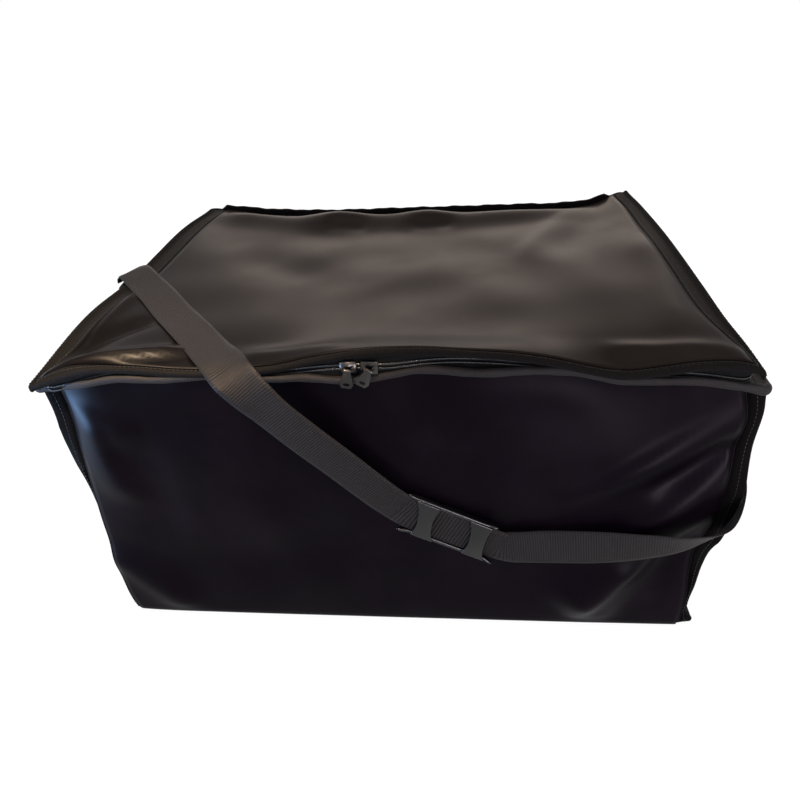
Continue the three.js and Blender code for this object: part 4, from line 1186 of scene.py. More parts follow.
@dataclass
class Bindings:
    """The bound seams: the mouth's rim, the two fins beside the front, and the hinge seam."""

    fin_width: float = 20.0
    fin_radius: float = 2.4
    fin_depth: float = 2.6
    fin_top: float = 308.6
    fin_step: float = 4.0
    foam_depth: float = 10.0
    under_width: float = 19.0
    under_reach: float = 205.0
    wavy_from: float = 222.0
    least_shown: float = 6.5
    fin_lean: float = 0.45
    fin_wave: Pair = (0.9, 0.23)
    floor_gap: float = 0.25
    thread_lift: float = 0.25
    rim_roll: float = 3.7
    rim_tongue: float = 2.6
    rim_outer: Spot = (322.0, RIM_Y, 8.0)
    rim_inner: Spot = (293.2, -221.2, 3.0)
    rim_back: float = 228.0
    rim_step: float = 3.0
    rim_z: float = 311.6
    rim_row: float = 1.9
    rim_row_share: float = 0.42
    ear_at: Pair = (320.0, 3.0)
    ear_reach: float = 22.0
    ears_out: Pair = (-5.0, -1.0)
    ear_swell: float = 0.3
    seam_half: float = 301.5
    seam_at: Pair = (230.6, 323.6)
    seam_thick: float = 2.7
    seam_high: float = 8.8
    seam_taper: float = 3.4
    seam_row: Pair = (232.8, 328.6)
    LEFT_SHOWN = ((0, 12), (10, 8), (22, 3), (60, 1.5), (105, 2), (140, 4), (170, 7), (188, 11), (205, 15),
                  (240, 19), (309, 20))
    RIGHT_SHOWN = ((0, 19), (8, 17), (22, 9), (34, 8), (60, 12), (90, 16), (121, 20), (156, 20), (200, 20),
                   (240, 18), (285, 17), (309, 19))

    def build(self) -> list[Piece]:
        """Makes the bindings and their stitches.

        Returns:
            The pieces.
        """
        stitches = StitchRow("case_stitches")
        made = [self.rim(stitches), self.fin("left", -1, stitches), self.fin("right", 1, stitches),
                self.hinge(stitches)]
        return [*made, stitches.sew(THREAD, CASE_STITCH, "bag")]

    def rim(self, stitches: StitchRow) -> Piece:
        """The rolled rim round the mouth.

        Args:
            stitches: Gets the rim's rows.

        Returns:
            The rim.
        """
        outer, inner = edge_path(self.rim_outer, self.rim_inner, self.rim_back, self.rim_step)
        z = self.rim_z
        rings = np.array([
            set_across(start, end, lobed_ring(span(start, end), self.rim_roll, self.rim_tongue), z)
            for start, end in zip(outer, inner)])
        away = np.hypot(np.abs(rings[..., 0]) - self.ear_at[0], rings[..., 1] - RIM_Y - self.ear_at[1])
        ear = np.exp(-((away / self.ear_reach) ** 2))
        rings[..., 0] += np.where(rings[..., 0] < 0, *self.ears_out) * ear
        rings[..., 2] = z + (rings[..., 2] - z) * (1 + self.ear_swell * ear)
        run = np.arange(len(rings)) * self.rim_step
        swell = 1 + 0.05 * np.sin(run / 9.1) + 0.04 * np.sin(run / 4.3 + 1)
        rings[..., 2] = z + (rings[..., 2] - z) * swell[:, None]
        line = outer + self.rim_row_share * (inner - outer)
        for side in (1, -1):
            row = np.column_stack([line, np.full(len(line), z + side * self.rim_row)])
            stitches.add(Settle.case(row), (0, 0, side))
        return placed(loft("rim_roll", Settle.case(rings)), RIM_TAPE, "bag", "body_rim_binding")

    def shown_width(self, side: int, path: np.ndarray) -> np.ndarray:
        """How far a fin reaches out: as the photograph shows it in front, and evenly elsewhere.

        Args:
            side: -1 for the left and 1 for the right.
            path: Pairs of y and z along the fin.

        Returns:
            The width at each place.
        """
        y, z = path.T
        shown = spline(self.LEFT_SHOWN if side < 0 else self.RIGHT_SHOWN, z)
        shown = np.where(y < 0, shown, self.fin_width)
        shown = np.where(np.abs(y) < self.under_reach, self.under_width, shown)
        if side > 0:
            return shown
        in_front = np.where(y < 0, ease(-150, -self.under_reach, y), 0)
        return self.under_width + (shown - self.under_width) * in_front

    def fin(self, name: str, side: int, stitches: StitchRow) -> Piece:
        """One bound fin, from the front's top, under the base and up the back.

        Args:
            name: Which side.
            side: -1 for the left and 1 for the right.
            stitches: Gets the fin's row.

        Returns:
            The fin.
        """
        section = case_section(self.fin_depth, self.fin_top, self.fin_top)
        path = smooth_path(np.column_stack([np.zeros(len(section)), section]), self.fin_step)[:, 1:]
        middle = case_section(self.foam_depth, self.fin_top, self.fin_top).mean(axis=0)
        away = unit(np.gradient(path, axis=0))
        outward = np.stack([away[:, 1], -away[:, 0]], 1)
        outward *= np.sign((outward * (path - middle)).sum(axis=1, keepdims=True))
        shown = self.shown_width(side, path)
        tuck = np.maximum(self.least_shown - shown, 0)
        shown = np.maximum(shown, self.least_shown)
        hidden = self.fin_width ** 2 - np.minimum(shown, self.fin_width) ** 2
        lean = -self.fin_lean * np.sqrt(np.maximum(hidden, 0))
        turn = np.linspace(-math.pi / 2, math.pi / 2, 8)
        radius = self.fin_radius
        rings = []
        for place in range(len(path)):
            width = shown[place] - radius
            flat = [(0.4, 1.1), (0.55 * width, 1.15), (width - 2.2 * radius, 1.5)]
            tip = [(width - radius * 0.2 + radius * math.cos(t), -radius * math.sin(t)) for t in turn]
            under = [(reach, -deep) for reach, deep in reversed(flat)]
            reach, deep = np.array(flat + tip + under).T
            fold = lean[place] * np.clip(reach / max(shown[place], 1), 0, 1) ** 1.5
            wave = self.fin_wave[0] * math.sin(place * self.fin_wave[1] + side) * reach / self.fin_width
            deep = deep + fold + (wave if abs(path[place, 0]) > self.wavy_from else 0.0)
            y, z = (path[place] + outward[place] * deep[:, None]).T
            rings.append(np.column_stack([
                side * (SIDE_X - tuck[place] + reach), y, np.maximum(z, self.floor_gap)]))
        settled = Settle.case(np.array(rings))
        settled[..., 2] = np.maximum(settled[..., 2], self.floor_gap)
        for face, corner in ((1, 1), (-1, len(rings[0]) - 2)):
            row = settled[:, corner] * 0.55 + settled[:, corner + face] * 0.45
            aim = face * np.column_stack([np.zeros(len(path)), outward])
            stitches.add(row + aim * self.thread_lift, aim)
        return placed(loft(f"{name}_fin", settled), BINDING, "bag", f"{name}_seam_binding")

    def hinge(self, stitches: StitchRow) -> Piece:
        """The bound seam along the back, where the lid turns.

        Args:
            stitches: Gets the seam's row.

        Returns:
            The seam.
        """
        across = np.linspace(-self.seam_half, self.seam_half, 150)
        turn = np.linspace(0, math.tau, 14, endpoint=False)
        rings = []
        for place, x in enumerate(across):
            swell = 1 + 0.05 * math.sin(place * 0.5) + 0.04 * math.sin(place * 1.13)
            y = self.seam_at[0] + self.seam_thick * swell * np.cos(turn) * (0.85 + 0.15 * np.sin(turn) ** 2)
            half = self.seam_high - self.seam_taper * float(ease(276, 286, abs(x)))
            z = self.seam_at[1] + half + half * swell * np.sin(turn)
            rings.append(np.column_stack([np.full_like(turn, x), y, z]))
        row = np.column_stack([across, *(np.full_like(across, value) for value in self.seam_row)])
        stitches.add(Settle.case(row), (0, 1, 0))
        return placed(loft("hinge_seam", Settle.case(np.array(rings))), BINDING, "bag", "hinge_seam_binding")


@dataclass
class Lid:
    """The lid: its cloth, its bound edge, foam and lining."""

    panel_x: float = 287.7
    panel_front: float = -227.7
    panel_back: float = 227.9
    panel_depth: float = 0.4
    foam_inset: float = 16.0
    foam_at: Pair = (1.5, 10.0)
    lining_at: Pair = (11.8, 0.8)
    step: float = 4.5
    layer_step: float = 9.0
    band_outer: Spot = (308.0, RIM_Y, 9.0)
    band_inner: Spot = (287.5, -227.6, 1.0)
    band_back: float = 227.0
    band_step: float = 0.9
    band_roll: float = 3.3
    band_tongue: float = 2.0
    band_z: float = 332.9
    rib_pitch: float = 3.3
    rib_high: float = 0.45
    rib_slant: float = 1.6
    ribbed_to: float = 6.5
    row_z: float = 334.2
    row_share: float = 0.22

    def build(self) -> list[Piece]:
        """Makes and places the lid's pieces.

        Returns:
            The pieces.
        """
        stitches = StitchRow("lid_stitches")
        made = [self.panel(), self.band(stitches), self.layer("lid_foam", *self.foam_at, FOAM),
                self.layer("lid_liner", *self.lining_at, LINING)]
        return [*made, stitches.sew(THREAD, LID_STITCH, "lid")]

    def grid(self, inset: float, depth: float, step: float) -> np.ndarray:
        """Points of one level sheet of the lid, settled.

        Args:
            inset: How far inside the panel's edge.
            depth: How far under the lid's top.
            step: Spacing.

        Returns:
            Points, rows by columns by three.
        """
        low = (-self.panel_x + inset, self.panel_front + inset)
        high = (self.panel_x - inset, self.panel_back - inset)
        return Settle.lid(wall_grid(low, high, at_height(LID_TOP - depth), step))

    def panel(self) -> Piece:
        """The lid's cloth.

        Returns:
            The cloth.
        """
        depth = self.panel_depth
        piece = slab("lid_cloth", self.grid(0.0, depth, self.step), self.grid(0.0, depth + SKIN, self.step))
        # The lid's cloth takes the lighter, warmer copy of the coated fabric: painted sheen.
        LID_SHEEN_COATED.dress(piece)
        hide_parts("lid_panel")
        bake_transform(piece)
        return piece

    def layer(self, node: str, depth: float, thick: float, finish: Finish) -> Piece:
        """A sheet under the lid's cloth, that begins at a depth under the lid's top."""
        faces = [self.grid(self.foam_inset, level, self.layer_step) for level in (depth, depth + thick)]
        return placed(slab(f"{node}_sheet", *faces), finish, "lid", node)

    def band(self, stitches: StitchRow) -> Piece:
        """The lid's bound edge: a roll wound with slanting thread, with a flat band inside it.

        Args:
            stitches: Gets the band's row.

        Returns:
            The band.
        """
        outer, inner = edge_path(self.band_outer, self.band_inner, self.band_back, self.band_step)
        rings = []
        for place, (start, end) in enumerate(zip(outer, inner)):
            section = lobed_ring(span(start, end), self.band_roll, self.band_tongue, 16)
            angle = np.arctan2(section[:, 1], section[:, 0] - self.band_roll)
            turns = place * self.band_step * math.tau / self.rib_pitch
            rib = self.rib_high * np.sin(turns + self.rib_slant * angle) * (section[:, 0] < self.ribbed_to)
            section = section + rib[:, None] * np.stack([np.cos(angle), np.sin(angle)], 1)
            rings.append(set_across(start, end, section, self.band_z))
        line = np.column_stack([inner + self.row_share * (outer - inner), np.full(len(inner), self.row_z)])
        stitches.add(Settle.lid(line[::4]), (0, 0, 1))
        return placed(loft("lid_band", Settle.lid(np.array(rings))), BAND_TAPE, "lid", "lid_binding")


@dataclass
class Zip:
    """The zip's two tapes and its coil, which wander with the edges that they join."""

    spacing: float = 3.0
    outer: Spot = (SIDE_X, FRONT_Y, 12.0)
    inner: Spot = (SIDE_X - 4, FRONT_Y + 4, 8.0)
    back: float = 220.0
    tape_half: float = 0.4
    body_levels: Pair = (312.5, 319.4)
    lid_levels: Pair = (325.0, 332.5)
    coil_levels: Pair = (320.3, 324.1)
    core_out: float = 1.35
    core_up: float = 1.05
    teeth_out: float = 1.5
    stop_edge: float = 0.5

    def build(self) -> list[Piece]:
        """Makes the tapes, the coil and the end stops.

        Returns:
            The pieces.
        """
        line, inner = edge_path(self.outer, self.inner, self.back, self.spacing)
        away = unit(line - inner)
        halves = (
            ("body", "bag", self.body_levels, (Settle.case, Settle.zip_line)),
            ("lid", "lid", self.lid_levels, (Settle.zip_line, Settle.lid)),
        )
        made = []
        for (name, body, levels, settles), coil_level in zip(halves, self.coil_levels):
            low, high = (
                settle(np.column_stack([line, np.full(len(line), level)]))
                for settle, level in zip(settles, levels))
            rings = []
            for place in range(len(line)):
                side = np.array([*away[place], 0.0]) * self.tape_half
                rows = [low[place] * (1 - share) + high[place] * share for share in (0, 0.33, 0.67, 1)]
                rings.append([row + side for row in rows] + [row - side for row in reversed(rows)])
            tape = loft(f"zip_tape_{body}", np.array(rings))
            # The tapes take the darkened zip finish: painted shade of the gap.
            made.append(placed(tape, TAPE, body, f"zipper_tape_{name}"))
            made += self.coil(name, body, line, away, coil_level)
        for side in ("left", "right"):
            made.append(bevelled(f"zipper_stop_{side}", f"zip_stop_{side}", "bag", METAL, self.stop_edge))
        return made

    def coil(self, name: str, body: str, line: np.ndarray, away: np.ndarray, level: float) -> list[Piece]:
        """Half of the coil: a core and its teeth.

        Args:
            name: Which half.
            body: The body that it rides on.
            line: The zip's line, x and y.
            away: Outward directions along it.
            level: Height of this half's middle.

        Returns:
            The core and the teeth.
        """
        middle = Settle.zip_line(np.column_stack([line, np.full(len(line), level)]))
        outward = np.column_stack([away, np.zeros(len(away))])
        turn = np.linspace(0, math.tau, 10, endpoint=False)
        rings = middle[:, None, :] + outward[:, None, :] * (self.core_out * np.cos(turn))[None, :, None]
        rings[..., 2] += self.core_up * np.sin(turn)[None, :]
        # The core and its teeth take the darkened coil finish: painted shade of the gap.
        core = placed(loft(f"coil_core_{body}", rings), COIL, body, f"zipper_chain_{name}")
        teeth = StitchRow(f"coil_teeth_{body}")
        for side in (1, -1):
            teeth.add(middle + side * (outward * self.teeth_out), side * outward)
        return [core, teeth.sew(COIL, COIL_TOOTH, body)]


def bevelled(node: str, name: str, body: str, finish: Finish, width: float) -> Piece:
    """A hard piece in its node's own shape, with its edges rounded.

    Args:
        node: The CAD node that it copies and replaces.
        name: Name of the new piece.
        body: The body that it rides on.
        finish: Its finish.
        width: Width of the rounded edge, in millimetres.

    Returns:
        The piece.
    """
    mesh = bpy.data.objects[node].data.copy()
    work = bmesh.new()
    work.from_mesh(mesh)
    bmesh.ops.remove_doubles(work, verts=work.verts[:], dist=1e-6)
    bmesh.ops.dissolve_limit(work, angle_limit=math.radians(1), verts=work.verts[:], edges=work.edges[:])
    work.to_mesh(mesh)
    work.free()
    mesh.materials.clear()
    rough = linked(f"{name}_rough", mesh)
    soften = rough.modifiers.new("soften", "BEVEL")
    soften.width = width * MM
    soften.segments = 3
    soften.limit_method = "ANGLE"
    soften.angle_limit = math.radians(32)
    return placed(baked(name, rough), finish, body, node)


def rounded(half_a: float, half_b: float, radius: float, steps: int = 4) -> np.ndarray:
    """The outline of a rectangle with round corners.

    Args:
        half_a: Half of its first side.
        half_b: Half of its second side.
        radius: Corner radius.
        steps: Points a corner.

    Returns:
        Pairs of coordinates, round the outline.
    """
    radius = min(radius, half_a, half_b)
    turn = np.linspace(0, math.pi / 2, steps)
    corners = []
    for quarter, (a, b) in enumerate(((1, 1), (-1, 1), (-1, -1), (1, -1))):
        angle = turn + quarter * math.pi / 2
        corners.append(np.stack([a * (half_a - radius) + radius * np.cos(angle),
                                 b * (half_b - radius) + radius * np.sin(angle)], 1))
    return np.concatenate(corners)


def joined(name: str, parts: Sequence[Piece]) -> Piece:
    """Several closed shells as one object.

    Args:
        name: Name of the whole.
        parts: The shells, which are removed.

    Returns:
        The whole.
    """
    work = bmesh.new()
    for part in parts:
        work.from_mesh(part.data)
        bpy.data.objects.remove(part)
    mesh = bpy.data.meshes.new(name)
    work.to_mesh(mesh)
    work.free()
    return linked(name, mesh)


@dataclass
class Adjuster:
    """The moulded strap adjuster: two rails with turned-up tips and broad curved bars."""

    middle: Spot = (56.0, -241.0, 153.0)
    slope: float = math.radians(27.5)
    half: float = 54.0
    rail_middle: float = 21.7
    rail_half: Pair = (2.1, 3.2)
    rail_corner: float = 1.5
    tip_spread: float = 2.4
    tip_drop: float = 1.8
    shift: float = 4.0
    lean: float = 0.28
    bar_half: float = 22.4
    bar_corner: float = 1.1
    bar_flare: Pair = (4.6, 0.5)
    RAILS = ((-1, 1.0), (1, 0.9))
    BARS = ((-27.0, -3.35, 7.8, 1.25, 2.0), (30.0, -3.35, 8.2, 1.25, 2.0), (0.0, 3.3, 5.0, 1.15, -0.4))

    def in_frame(self, points: np.ndarray) -> np.ndarray:
        """Points in the bag's frame.

        Args:
            points: Points given along, outward from and across the adjuster.

        Returns:
            The same points as x, y and z.
        """
        along, outward, across = points[..., 0], points[..., 1], points[..., 2]
        cos, sin = math.cos(self.slope), math.sin(self.slope)
        return np.stack([self.middle[0] + along * cos + across * sin, self.middle[1] + outward,
                         self.middle[2] - along * sin + across * cos], -1)

    def moulded(self, points: np.ndarray) -> np.ndarray:
        """Points of the moulding, which the pull of the strap has skewed a little.

        Args:
            points: Points given along, outward from and across the adjuster.

        Returns:
            The skewed points as x, y and z.
        """
        skewed = np.array(points)
        skewed[..., 0] += self.shift - self.lean * points[..., 2]
        return self.in_frame(skewed)

    def build(self) -> list[Piece]:
        """Makes the adjuster, which is one moulded piece."""
        parts = [self.rail(*rail) for rail in self.RAILS] + [self.bar(*bar) for bar in self.BARS]
        return [placed(joined("adjuster_moulding", parts), PLASTIC, "adjuster", "adjuster_frame")]

    def rail(self, side: int, reach: float) -> Piece:
        """One rail, with its ends turned up and tapered.

        Args:
            side: -1 for the lower rail and 1 for the upper one.
            reach: Share of the adjuster's half length.

        Returns:
            The rail.
        """
        rings = []
        for share in np.linspace(-1, 1, 61):
            end = float(ease(0.62, 1.0, abs(share)))
            tip = float(ease(0.93, 1.0, abs(share)))
            wide = self.rail_half[0] * (1 - 0.3 * end) * (1 - 0.75 * tip)
            deep = self.rail_half[1] * (1 - 0.25 * end) * (1 - 0.7 * tip)
            outline = rounded(wide, deep, self.rail_corner)
            along = np.full(len(outline), share * self.half * reach)
            across = side * (self.rail_middle + self.tip_spread * end ** 2) + outline[:, 0]
            outward = outline[:, 1] - self.tip_drop * end ** 2
            rings.append(np.column_stack([along, outward, across]))
        return loft(f"rail_{side}", self.moulded(np.array(rings)))

    def bar(self, along: float, outward: float, half_width: float, half_thick: float, arch: float) -> Piece:
        """A bar from rail to rail, waisted in the middle and arched outwards.

        Args:
            along: Its place along the adjuster.
            outward: Its place outwards.
            half_width: Half of its width at the middle.
            half_thick: Half of its thickness.
            arch: How far its middle stands out.

        Returns:
            The bar.
        """
        rings = []
        for share in np.linspace(-1, 1, 41):
            flare = abs(share) ** 2.4
            outline = rounded(half_width + self.bar_flare[0] * flare, half_thick + self.bar_flare[1] * flare,
                              self.bar_corner)
            crown = -arch * (1 - share ** 2)
            rings.append(np.column_stack([along + outline[:, 0], outward + crown + outline[:, 1],
                                          np.full(len(outline), share * self.bar_half)]))
        return loft(f"bar_{along:.0f}", self.moulded(np.array(rings)))


@dataclass
class Strap:
    """The shoulder strap: ribbed webbing over the lid, through the adjuster and round to the right side."""

    width: float = 38.0
    thickness: float = 1.6
    spacing: float = 0.6
    rib: float = 0.22
    cup: float = 0.5
    in_adjuster: float = 0.95
    gripped_ribs: float = 2.2
    freed_at: Spot = (-270.0, -62.0, 340.0)
    right_fold: Spot = (327.0, -12.0, 247.0)
    right_way: Spot = (-0.15, 0.97, 0.18)
    right_across: Spot = (0.05, -0.2, 0.97)
    right_freed: float = 16.0
    patch_x: float = 302.35
    patch_thick: float = 2.2
    patch_half: float = 21.2
    patch_swell: float = 1.8
    patch_z: float = 244.0
    row_x: float = 304.7
    cross_x: float = 306.9
    cross_half: float = 15.0
    adjuster: Adjuster = field(default_factory=Adjuster)
    FOLDED_EDGE = (((-318.5, -19, 331), (0.25, 0.97, 0)), ((-316, -19.5, 336.5), (0.3, 0.95, 0)),
                   ((-309, -22, 339.6), (0.4, 0.9, 0)), ((-298, -33, 339.8), (0.6, 0.8, 0)))
    OVER_LID = ((-282, -50, 2.4), (-254, -81, 2.2), (-227, -114, 2.2), (-202, -144, 2.4), (-178, -172, 2.8),
                (-157, -198, 4.4))
    OVER_EDGE = (((-137, -223, 6.4), (0.77, 0.58, 0.2)), ((-121, -242.5, 3), (0.78, 0.37, 0.44)),
                 ((-107, -248, -12), (0.77, 0.16, 0.6)))
    DOWN_FRONT = (((-95, -247, 300), (0.77, 0, 0.63)), ((-70, -246, 270), (0.75, 0, 0.65)),
                  ((-42, -245, 239), (0.71, 0, 0.7)), ((-13, -244, 206), (0.76, 0, 0.65)),
                  ((1, -242.8, 190), (0.72, 0, 0.69)))
    ROUND_RIGHT = (((128, -242.5, 126), (0.2, 0.12, 0.96)), ((152, -244, 129), (0.06, 0.2, 0.97)),
                   ((204, -249, 135), (0, 0.14, 0.98)), ((246, -252, 140), (-0.06, -0.1, 0.98)),
                   ((286, -253, 147), (-0.14, -0.42, 0.88)), ((318, -245, 157), (-0.2, -0.66, 0.7)),
                   ((335, -221, 173), (-0.12, -0.55, 0.82)), ((338, -183, 193), (0, -0.36, 0.92)),
                   ((335, -139, 212), (0, -0.3, 0.94)), ((330, -77, 233), (0.02, -0.25, 0.96)))
    LEFT_END = (((-305.8, 30, 227.3), (0, 1, 0)), ((-305.8, 30, 244), (0, 1, 0)),
                ((-306.1, 29.5, 256.5), (0, 1, 0)), ((-307, 27, 268), (0, 1, 0)),
                ((-316, 14, 287), (0, 0.84, 0.54)), ((-321, -3, 308), (0.05, 0.85, 0.52)),
                ((-320.5, -15, 323), (0.15, 0.93, 0.3)))
    RIGHT_END = (((315, 16, 249), (0, 0, 1)), ((307, 31, 247), (0, 0.15, 1)),
                 ((306.1, 42.5, 245), (0, 0.15, 1)), ((305.8, 54, 244), (0, 0, 1)),
                 ((305.8, 69.3, 244), (0, 0, 1)))
    LEFT_GRIPS, RIGHT_GRIPS, RIGHT_LOOSE = (-36, -22, 0, 33), (-33, 0, 30), (54, 62)
    PATCHES = (("left", -1, 30.0), ("right", 1, 54.0))

    def build(self) -> list[Piece]:
        """Makes the strap's four pieces and its two sewn patches.

        Returns:
            The pieces.
        """
        right, right_way = np.array(self.right_fold), unit(np.array(self.right_way))
        pieces = [
            self.webbing("strap_over_lid", self.left_stops()),
            self.webbing("strap_round_side", self.right_stops(right, right_way)),
            self.webbing("strap_left_end", self.left_end(), settle=True),
            self.webbing("strap_right_end", self.right_end(right, right_way), settle=True)]
        nodes = ("strap_webbing_left", "strap_webbing_right", "strap_end_left", "strap_end_right")
        for piece, node in zip(pieces, nodes):
            WEBBING.dress(piece)
            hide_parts(node)
        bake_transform(pieces[0])
        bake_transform(pieces[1])
        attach(pieces[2], "bag")
        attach(pieces[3], "bag")
        return [*pieces, *self.patches()]

    @staticmethod
    def stop(point: Sequence[float], across: Sequence[float], ribs: float = 1.0) -> list[float]:
        """One stop: its place, the way that its width lies, and how strong its ribs are."""
        return [*point, *unit(np.array(across, dtype=float)), ribs]

    def on_adjuster(self, along: float, outward: float, ribs: float = 1.0) -> list[float]:
        """A stop held in the adjuster."""
        place = self.adjuster.in_frame(np.array([along, outward, 0.0]))
        return self.stop(place, (math.sin(self.adjuster.slope), 0, math.cos(self.adjuster.slope)), ribs)

    def left_stops(self) -> list[list[float]]:
        """Stops from the fold at the lid's left edge, over the lid and down to the adjuster.

        Returns:
            The stops, in order.
        """
        stops = [self.stop(point, across) for point, across in self.FOLDED_EDGE]
        for x, y, up in self.OVER_LID:
            under = Settle.lid(np.array([(x + 13 * share, y + 11 * share, LID_TOP) for share in (-1, 0, 1)]))
            stops.append(self.stop((x, y, 0.5 * (under[1, 2] + under[:, 2].max()) + up), (0.77, 0.64, 0)))
        edge = LID_TOP + float(spline(Settle.LID_LIFT, -130))
        stops += [self.stop((x, y, edge + up), across) for (x, y, up), across in self.OVER_EDGE]
        stops += [self.stop(point, across) for point, across in self.DOWN_FRONT]
        return stops + [
            self.on_adjuster(along, -self.in_adjuster, self.gripped_ribs) for along in self.LEFT_GRIPS]

    def right_stops(self, fold: np.ndarray, way: np.ndarray) -> list[list[float]]:
        """Stops from inside the adjuster to the fold on the right side.

        Args:
            fold: Where the strap folds.
            way: Its direction there.

        Returns:
            The stops, in order.
        """
        stops = [self.on_adjuster(along, self.in_adjuster, self.gripped_ribs) for along in self.RIGHT_GRIPS]
        stops += [self.on_adjuster(along, self.in_adjuster) for along in self.RIGHT_LOOSE]
        stops += [self.stop(point, across) for point, across in self.ROUND_RIGHT]
        return [*stops, self.stop(fold - 8 * way, self.right_across), self.stop(fold, self.right_across)]

    def left_end(self) -> list[list[float]]:
        """Stops from the left patch, up the side and over the lid's edge.

        Returns:
            The stops, in order.
        """
        place, across = self.FOLDED_EDGE[0]
        met = (np.array(place) - (0, 0, 0.3), across)
        return [self.stop(point, lie) for point, lie in (*self.LEFT_END, met)]

    def right_end(self, fold: np.ndarray, way: np.ndarray) -> list[list[float]]:
        """Stops from the fold on the right to the right patch."""
        stops = [self.stop(fold + run * way, self.right_across) for run in (0.3, 8)]
        return stops + [self.stop(point, lie) for point, lie in self.RIGHT_END]

    @staticmethod
    def rib_pitch(ribs: float, y: float) -> float:
        """How far apart the ribs look.

        Args:
            ribs: How strong they are, more than 1.6 where the adjuster holds the strap.
            y: How far back they are.

        Returns:
            The pitch, in millimetres.
        """
        if ribs > 1.6:
            return 3.6
        return 3.1 if y > -235 else 2.4

    def webbing(self, name: str, stops: list[list[float]], settle: bool = False) -> Piece:
        """A ribbed strap along stops.

        Args:
            name: Name of the piece.
            stops: Rows from stop().
            settle: Whether it lies on a side panel and settles with it.

        Returns:
            The piece.
        """
        path = smooth_path(np.array(stops), self.spacing)
        middle, across, ribs = path[:, :3], path[:, 3:6], path[:, 6]
        along = unit(np.gradient(middle, axis=0))
        across = unit(across - (across * along).sum(axis=1, keepdims=True) * along)
        outward = np.cross(along, across)
        half, thick = self.width / 2, self.thickness / 2
        shares = np.linspace(-1, 1, 11)
        rings, crowns = [], []
        for place in range(len(path)):
            run = place * self.spacing
            wave = math.sin(run * math.tau / self.rib_pitch(ribs[place], middle[place, 1]))
            rib = self.rib * ribs[place] * wave
            cup = self.cup * math.sin(run / 61) * (1 - shares ** 2)
            body = thick * (1 - 0.12 * np.abs(shares) ** 6) + rib * (1 - np.abs(shares) ** 8)
            body[[0, -1]] = thick * 0.55
            upper = np.stack([shares * half, cup + body], 1)
            lower = np.stack([shares[::-1] * half, cup[::-1] - body[::-1]], 1)
            profile = np.concatenate([upper, lower])
            # High on the rib tops and low in the valleys: this sets the webbing's painted highlight and
            # painted shade.
            crowns.append(np.full(len(profile), 0.5 + 0.5 * wave * min(ribs[place], 1.0)))
            rings.append(middle[place] + across[place] * profile[:, :1] + outward[place] * profile[:, 1:])
        rings = np.array(rings)
        crowns = np.array(crowns)
        if settle:
            held = Settle.case(rings)[..., 0] - rings[..., 0]
            rings[..., 0] += held * ease(320, 307, np.abs(rings[..., 0]))
        piece = loft(name, rings)
        # The crown values go on the mesh as the rib attribute, which paints the highlight and the shade into
        # the webbing's colour.
        crown = piece.data.attributes.new("rib", "FLOAT", "POINT")
        crown.data.foreach_set("value", crowns.astype(np.float32).ravel())
        return piece

    def patches(self) -> list[Piece]:
        """The two padded patches that the strap's ends are sewn to, with their stitches.

        Returns:
            The patches and the stitches.
        """
        made = []
        stitches = StitchRow("patch_stitches")
        for name, side, middle_y in self.PATCHES:
            rings = []
            for share in np.linspace(0, 1, 9):
                half = self.patch_half + self.patch_swell * math.sin(math.pi * share) ** 0.5
                outline = rounded(half, half + 2, 5, 6)
                rings.append(np.column_stack([
                    np.full(len(outline), side * (self.patch_x + self.patch_thick * share)),
                    middle_y + outline[:, 0], self.patch_z + outline[:, 1]]))
            piece = loft(f"{name}_patch", Settle.case(np.array(rings)))
            made.append(placed(piece, COATED, "bag", f"{name}_strap_anchor"))
            outline = rounded(19, 21, 4, 6)
            low, high = -self.cross_half, self.cross_half
            cross = np.array([(low, low), (high, low), (high, high), (low, high), (low, low), (high, high),
                              (high, low), (low, high)])
            for row, x in ((np.vstack([outline, outline[:1]]), self.row_x), (cross, self.cross_x)):
                line = np.column_stack([np.full(len(row), side * x), middle_y + row[:, 0],
                                        self.patch_z + row[:, 1]])
                stitches.add(Settle.case(line), (side, 0, 0))
        return [*made, stitches.sew(THREAD, PATCH_STITCH, "bag")]


@dataclass
class Sliders:
    """The two zip sliders and their pull tabs, in their nodes' own shapes with rounded edges."""

    edge: float = 0.4
    tab_edge: float = 0.3
    HANGS = {"left": ((-23.0, -238.6, 333.8), 13.0), "right": ((-5.0, -238.6, 333.8), 27.0)}

    def build(self) -> list[Piece]:
        """Makes both sliders and tabs.

        Returns:
            The pieces.
        """
        made = []
        for side in ("left", "right"):
            made.append(bevelled(f"slider_{side}", f"zip_slider_{side}", f"{side}_slider", METAL, self.edge))
            tab = bevelled(f"pull_tab_{side}", f"zip_tab_{side}", f"{side}_pull_tab", METAL, self.tab_edge)
            pivot, lean = self.HANGS[side]
            about = Matrix.Translation([value * MM for value in pivot])
            tab.data.transform(about @ Matrix.Rotation(math.radians(lean), 4, "Y") @ about.inverted())
            made.append(tab)
        return made


@dataclass(frozen=True)
class Softbox:
    """One rectangular soft light, in metres and watts; a gloss-only one shows in reflections alone."""

    name: str
    place: Spot
    target: Spot
    size: Pair
    power: float
    colour: Spot
    gloss_only: bool = False

    def light(self) -> None:
        """Adds the light to the scene, facing its target."""
        data = bpy.data.lights.new(self.name, "AREA")
        data.shape = "RECTANGLE"
        data.size, data.size_y = self.size
        data.energy = self.power
        data.color = self.colour
        lamp = linked(self.name, data)
        away = unit(np.array(self.place) - np.array(self.target))
        level = unit(np.cross((0.0, 0.02, 1.0), away))
        turned = Matrix(np.column_stack([level, np.cross(away, level), away]).tolist()).to_4x4()
        turned.translation = self.place
        lamp.matrix_world = turned
        lamp.visible_diffuse = not self.gloss_only


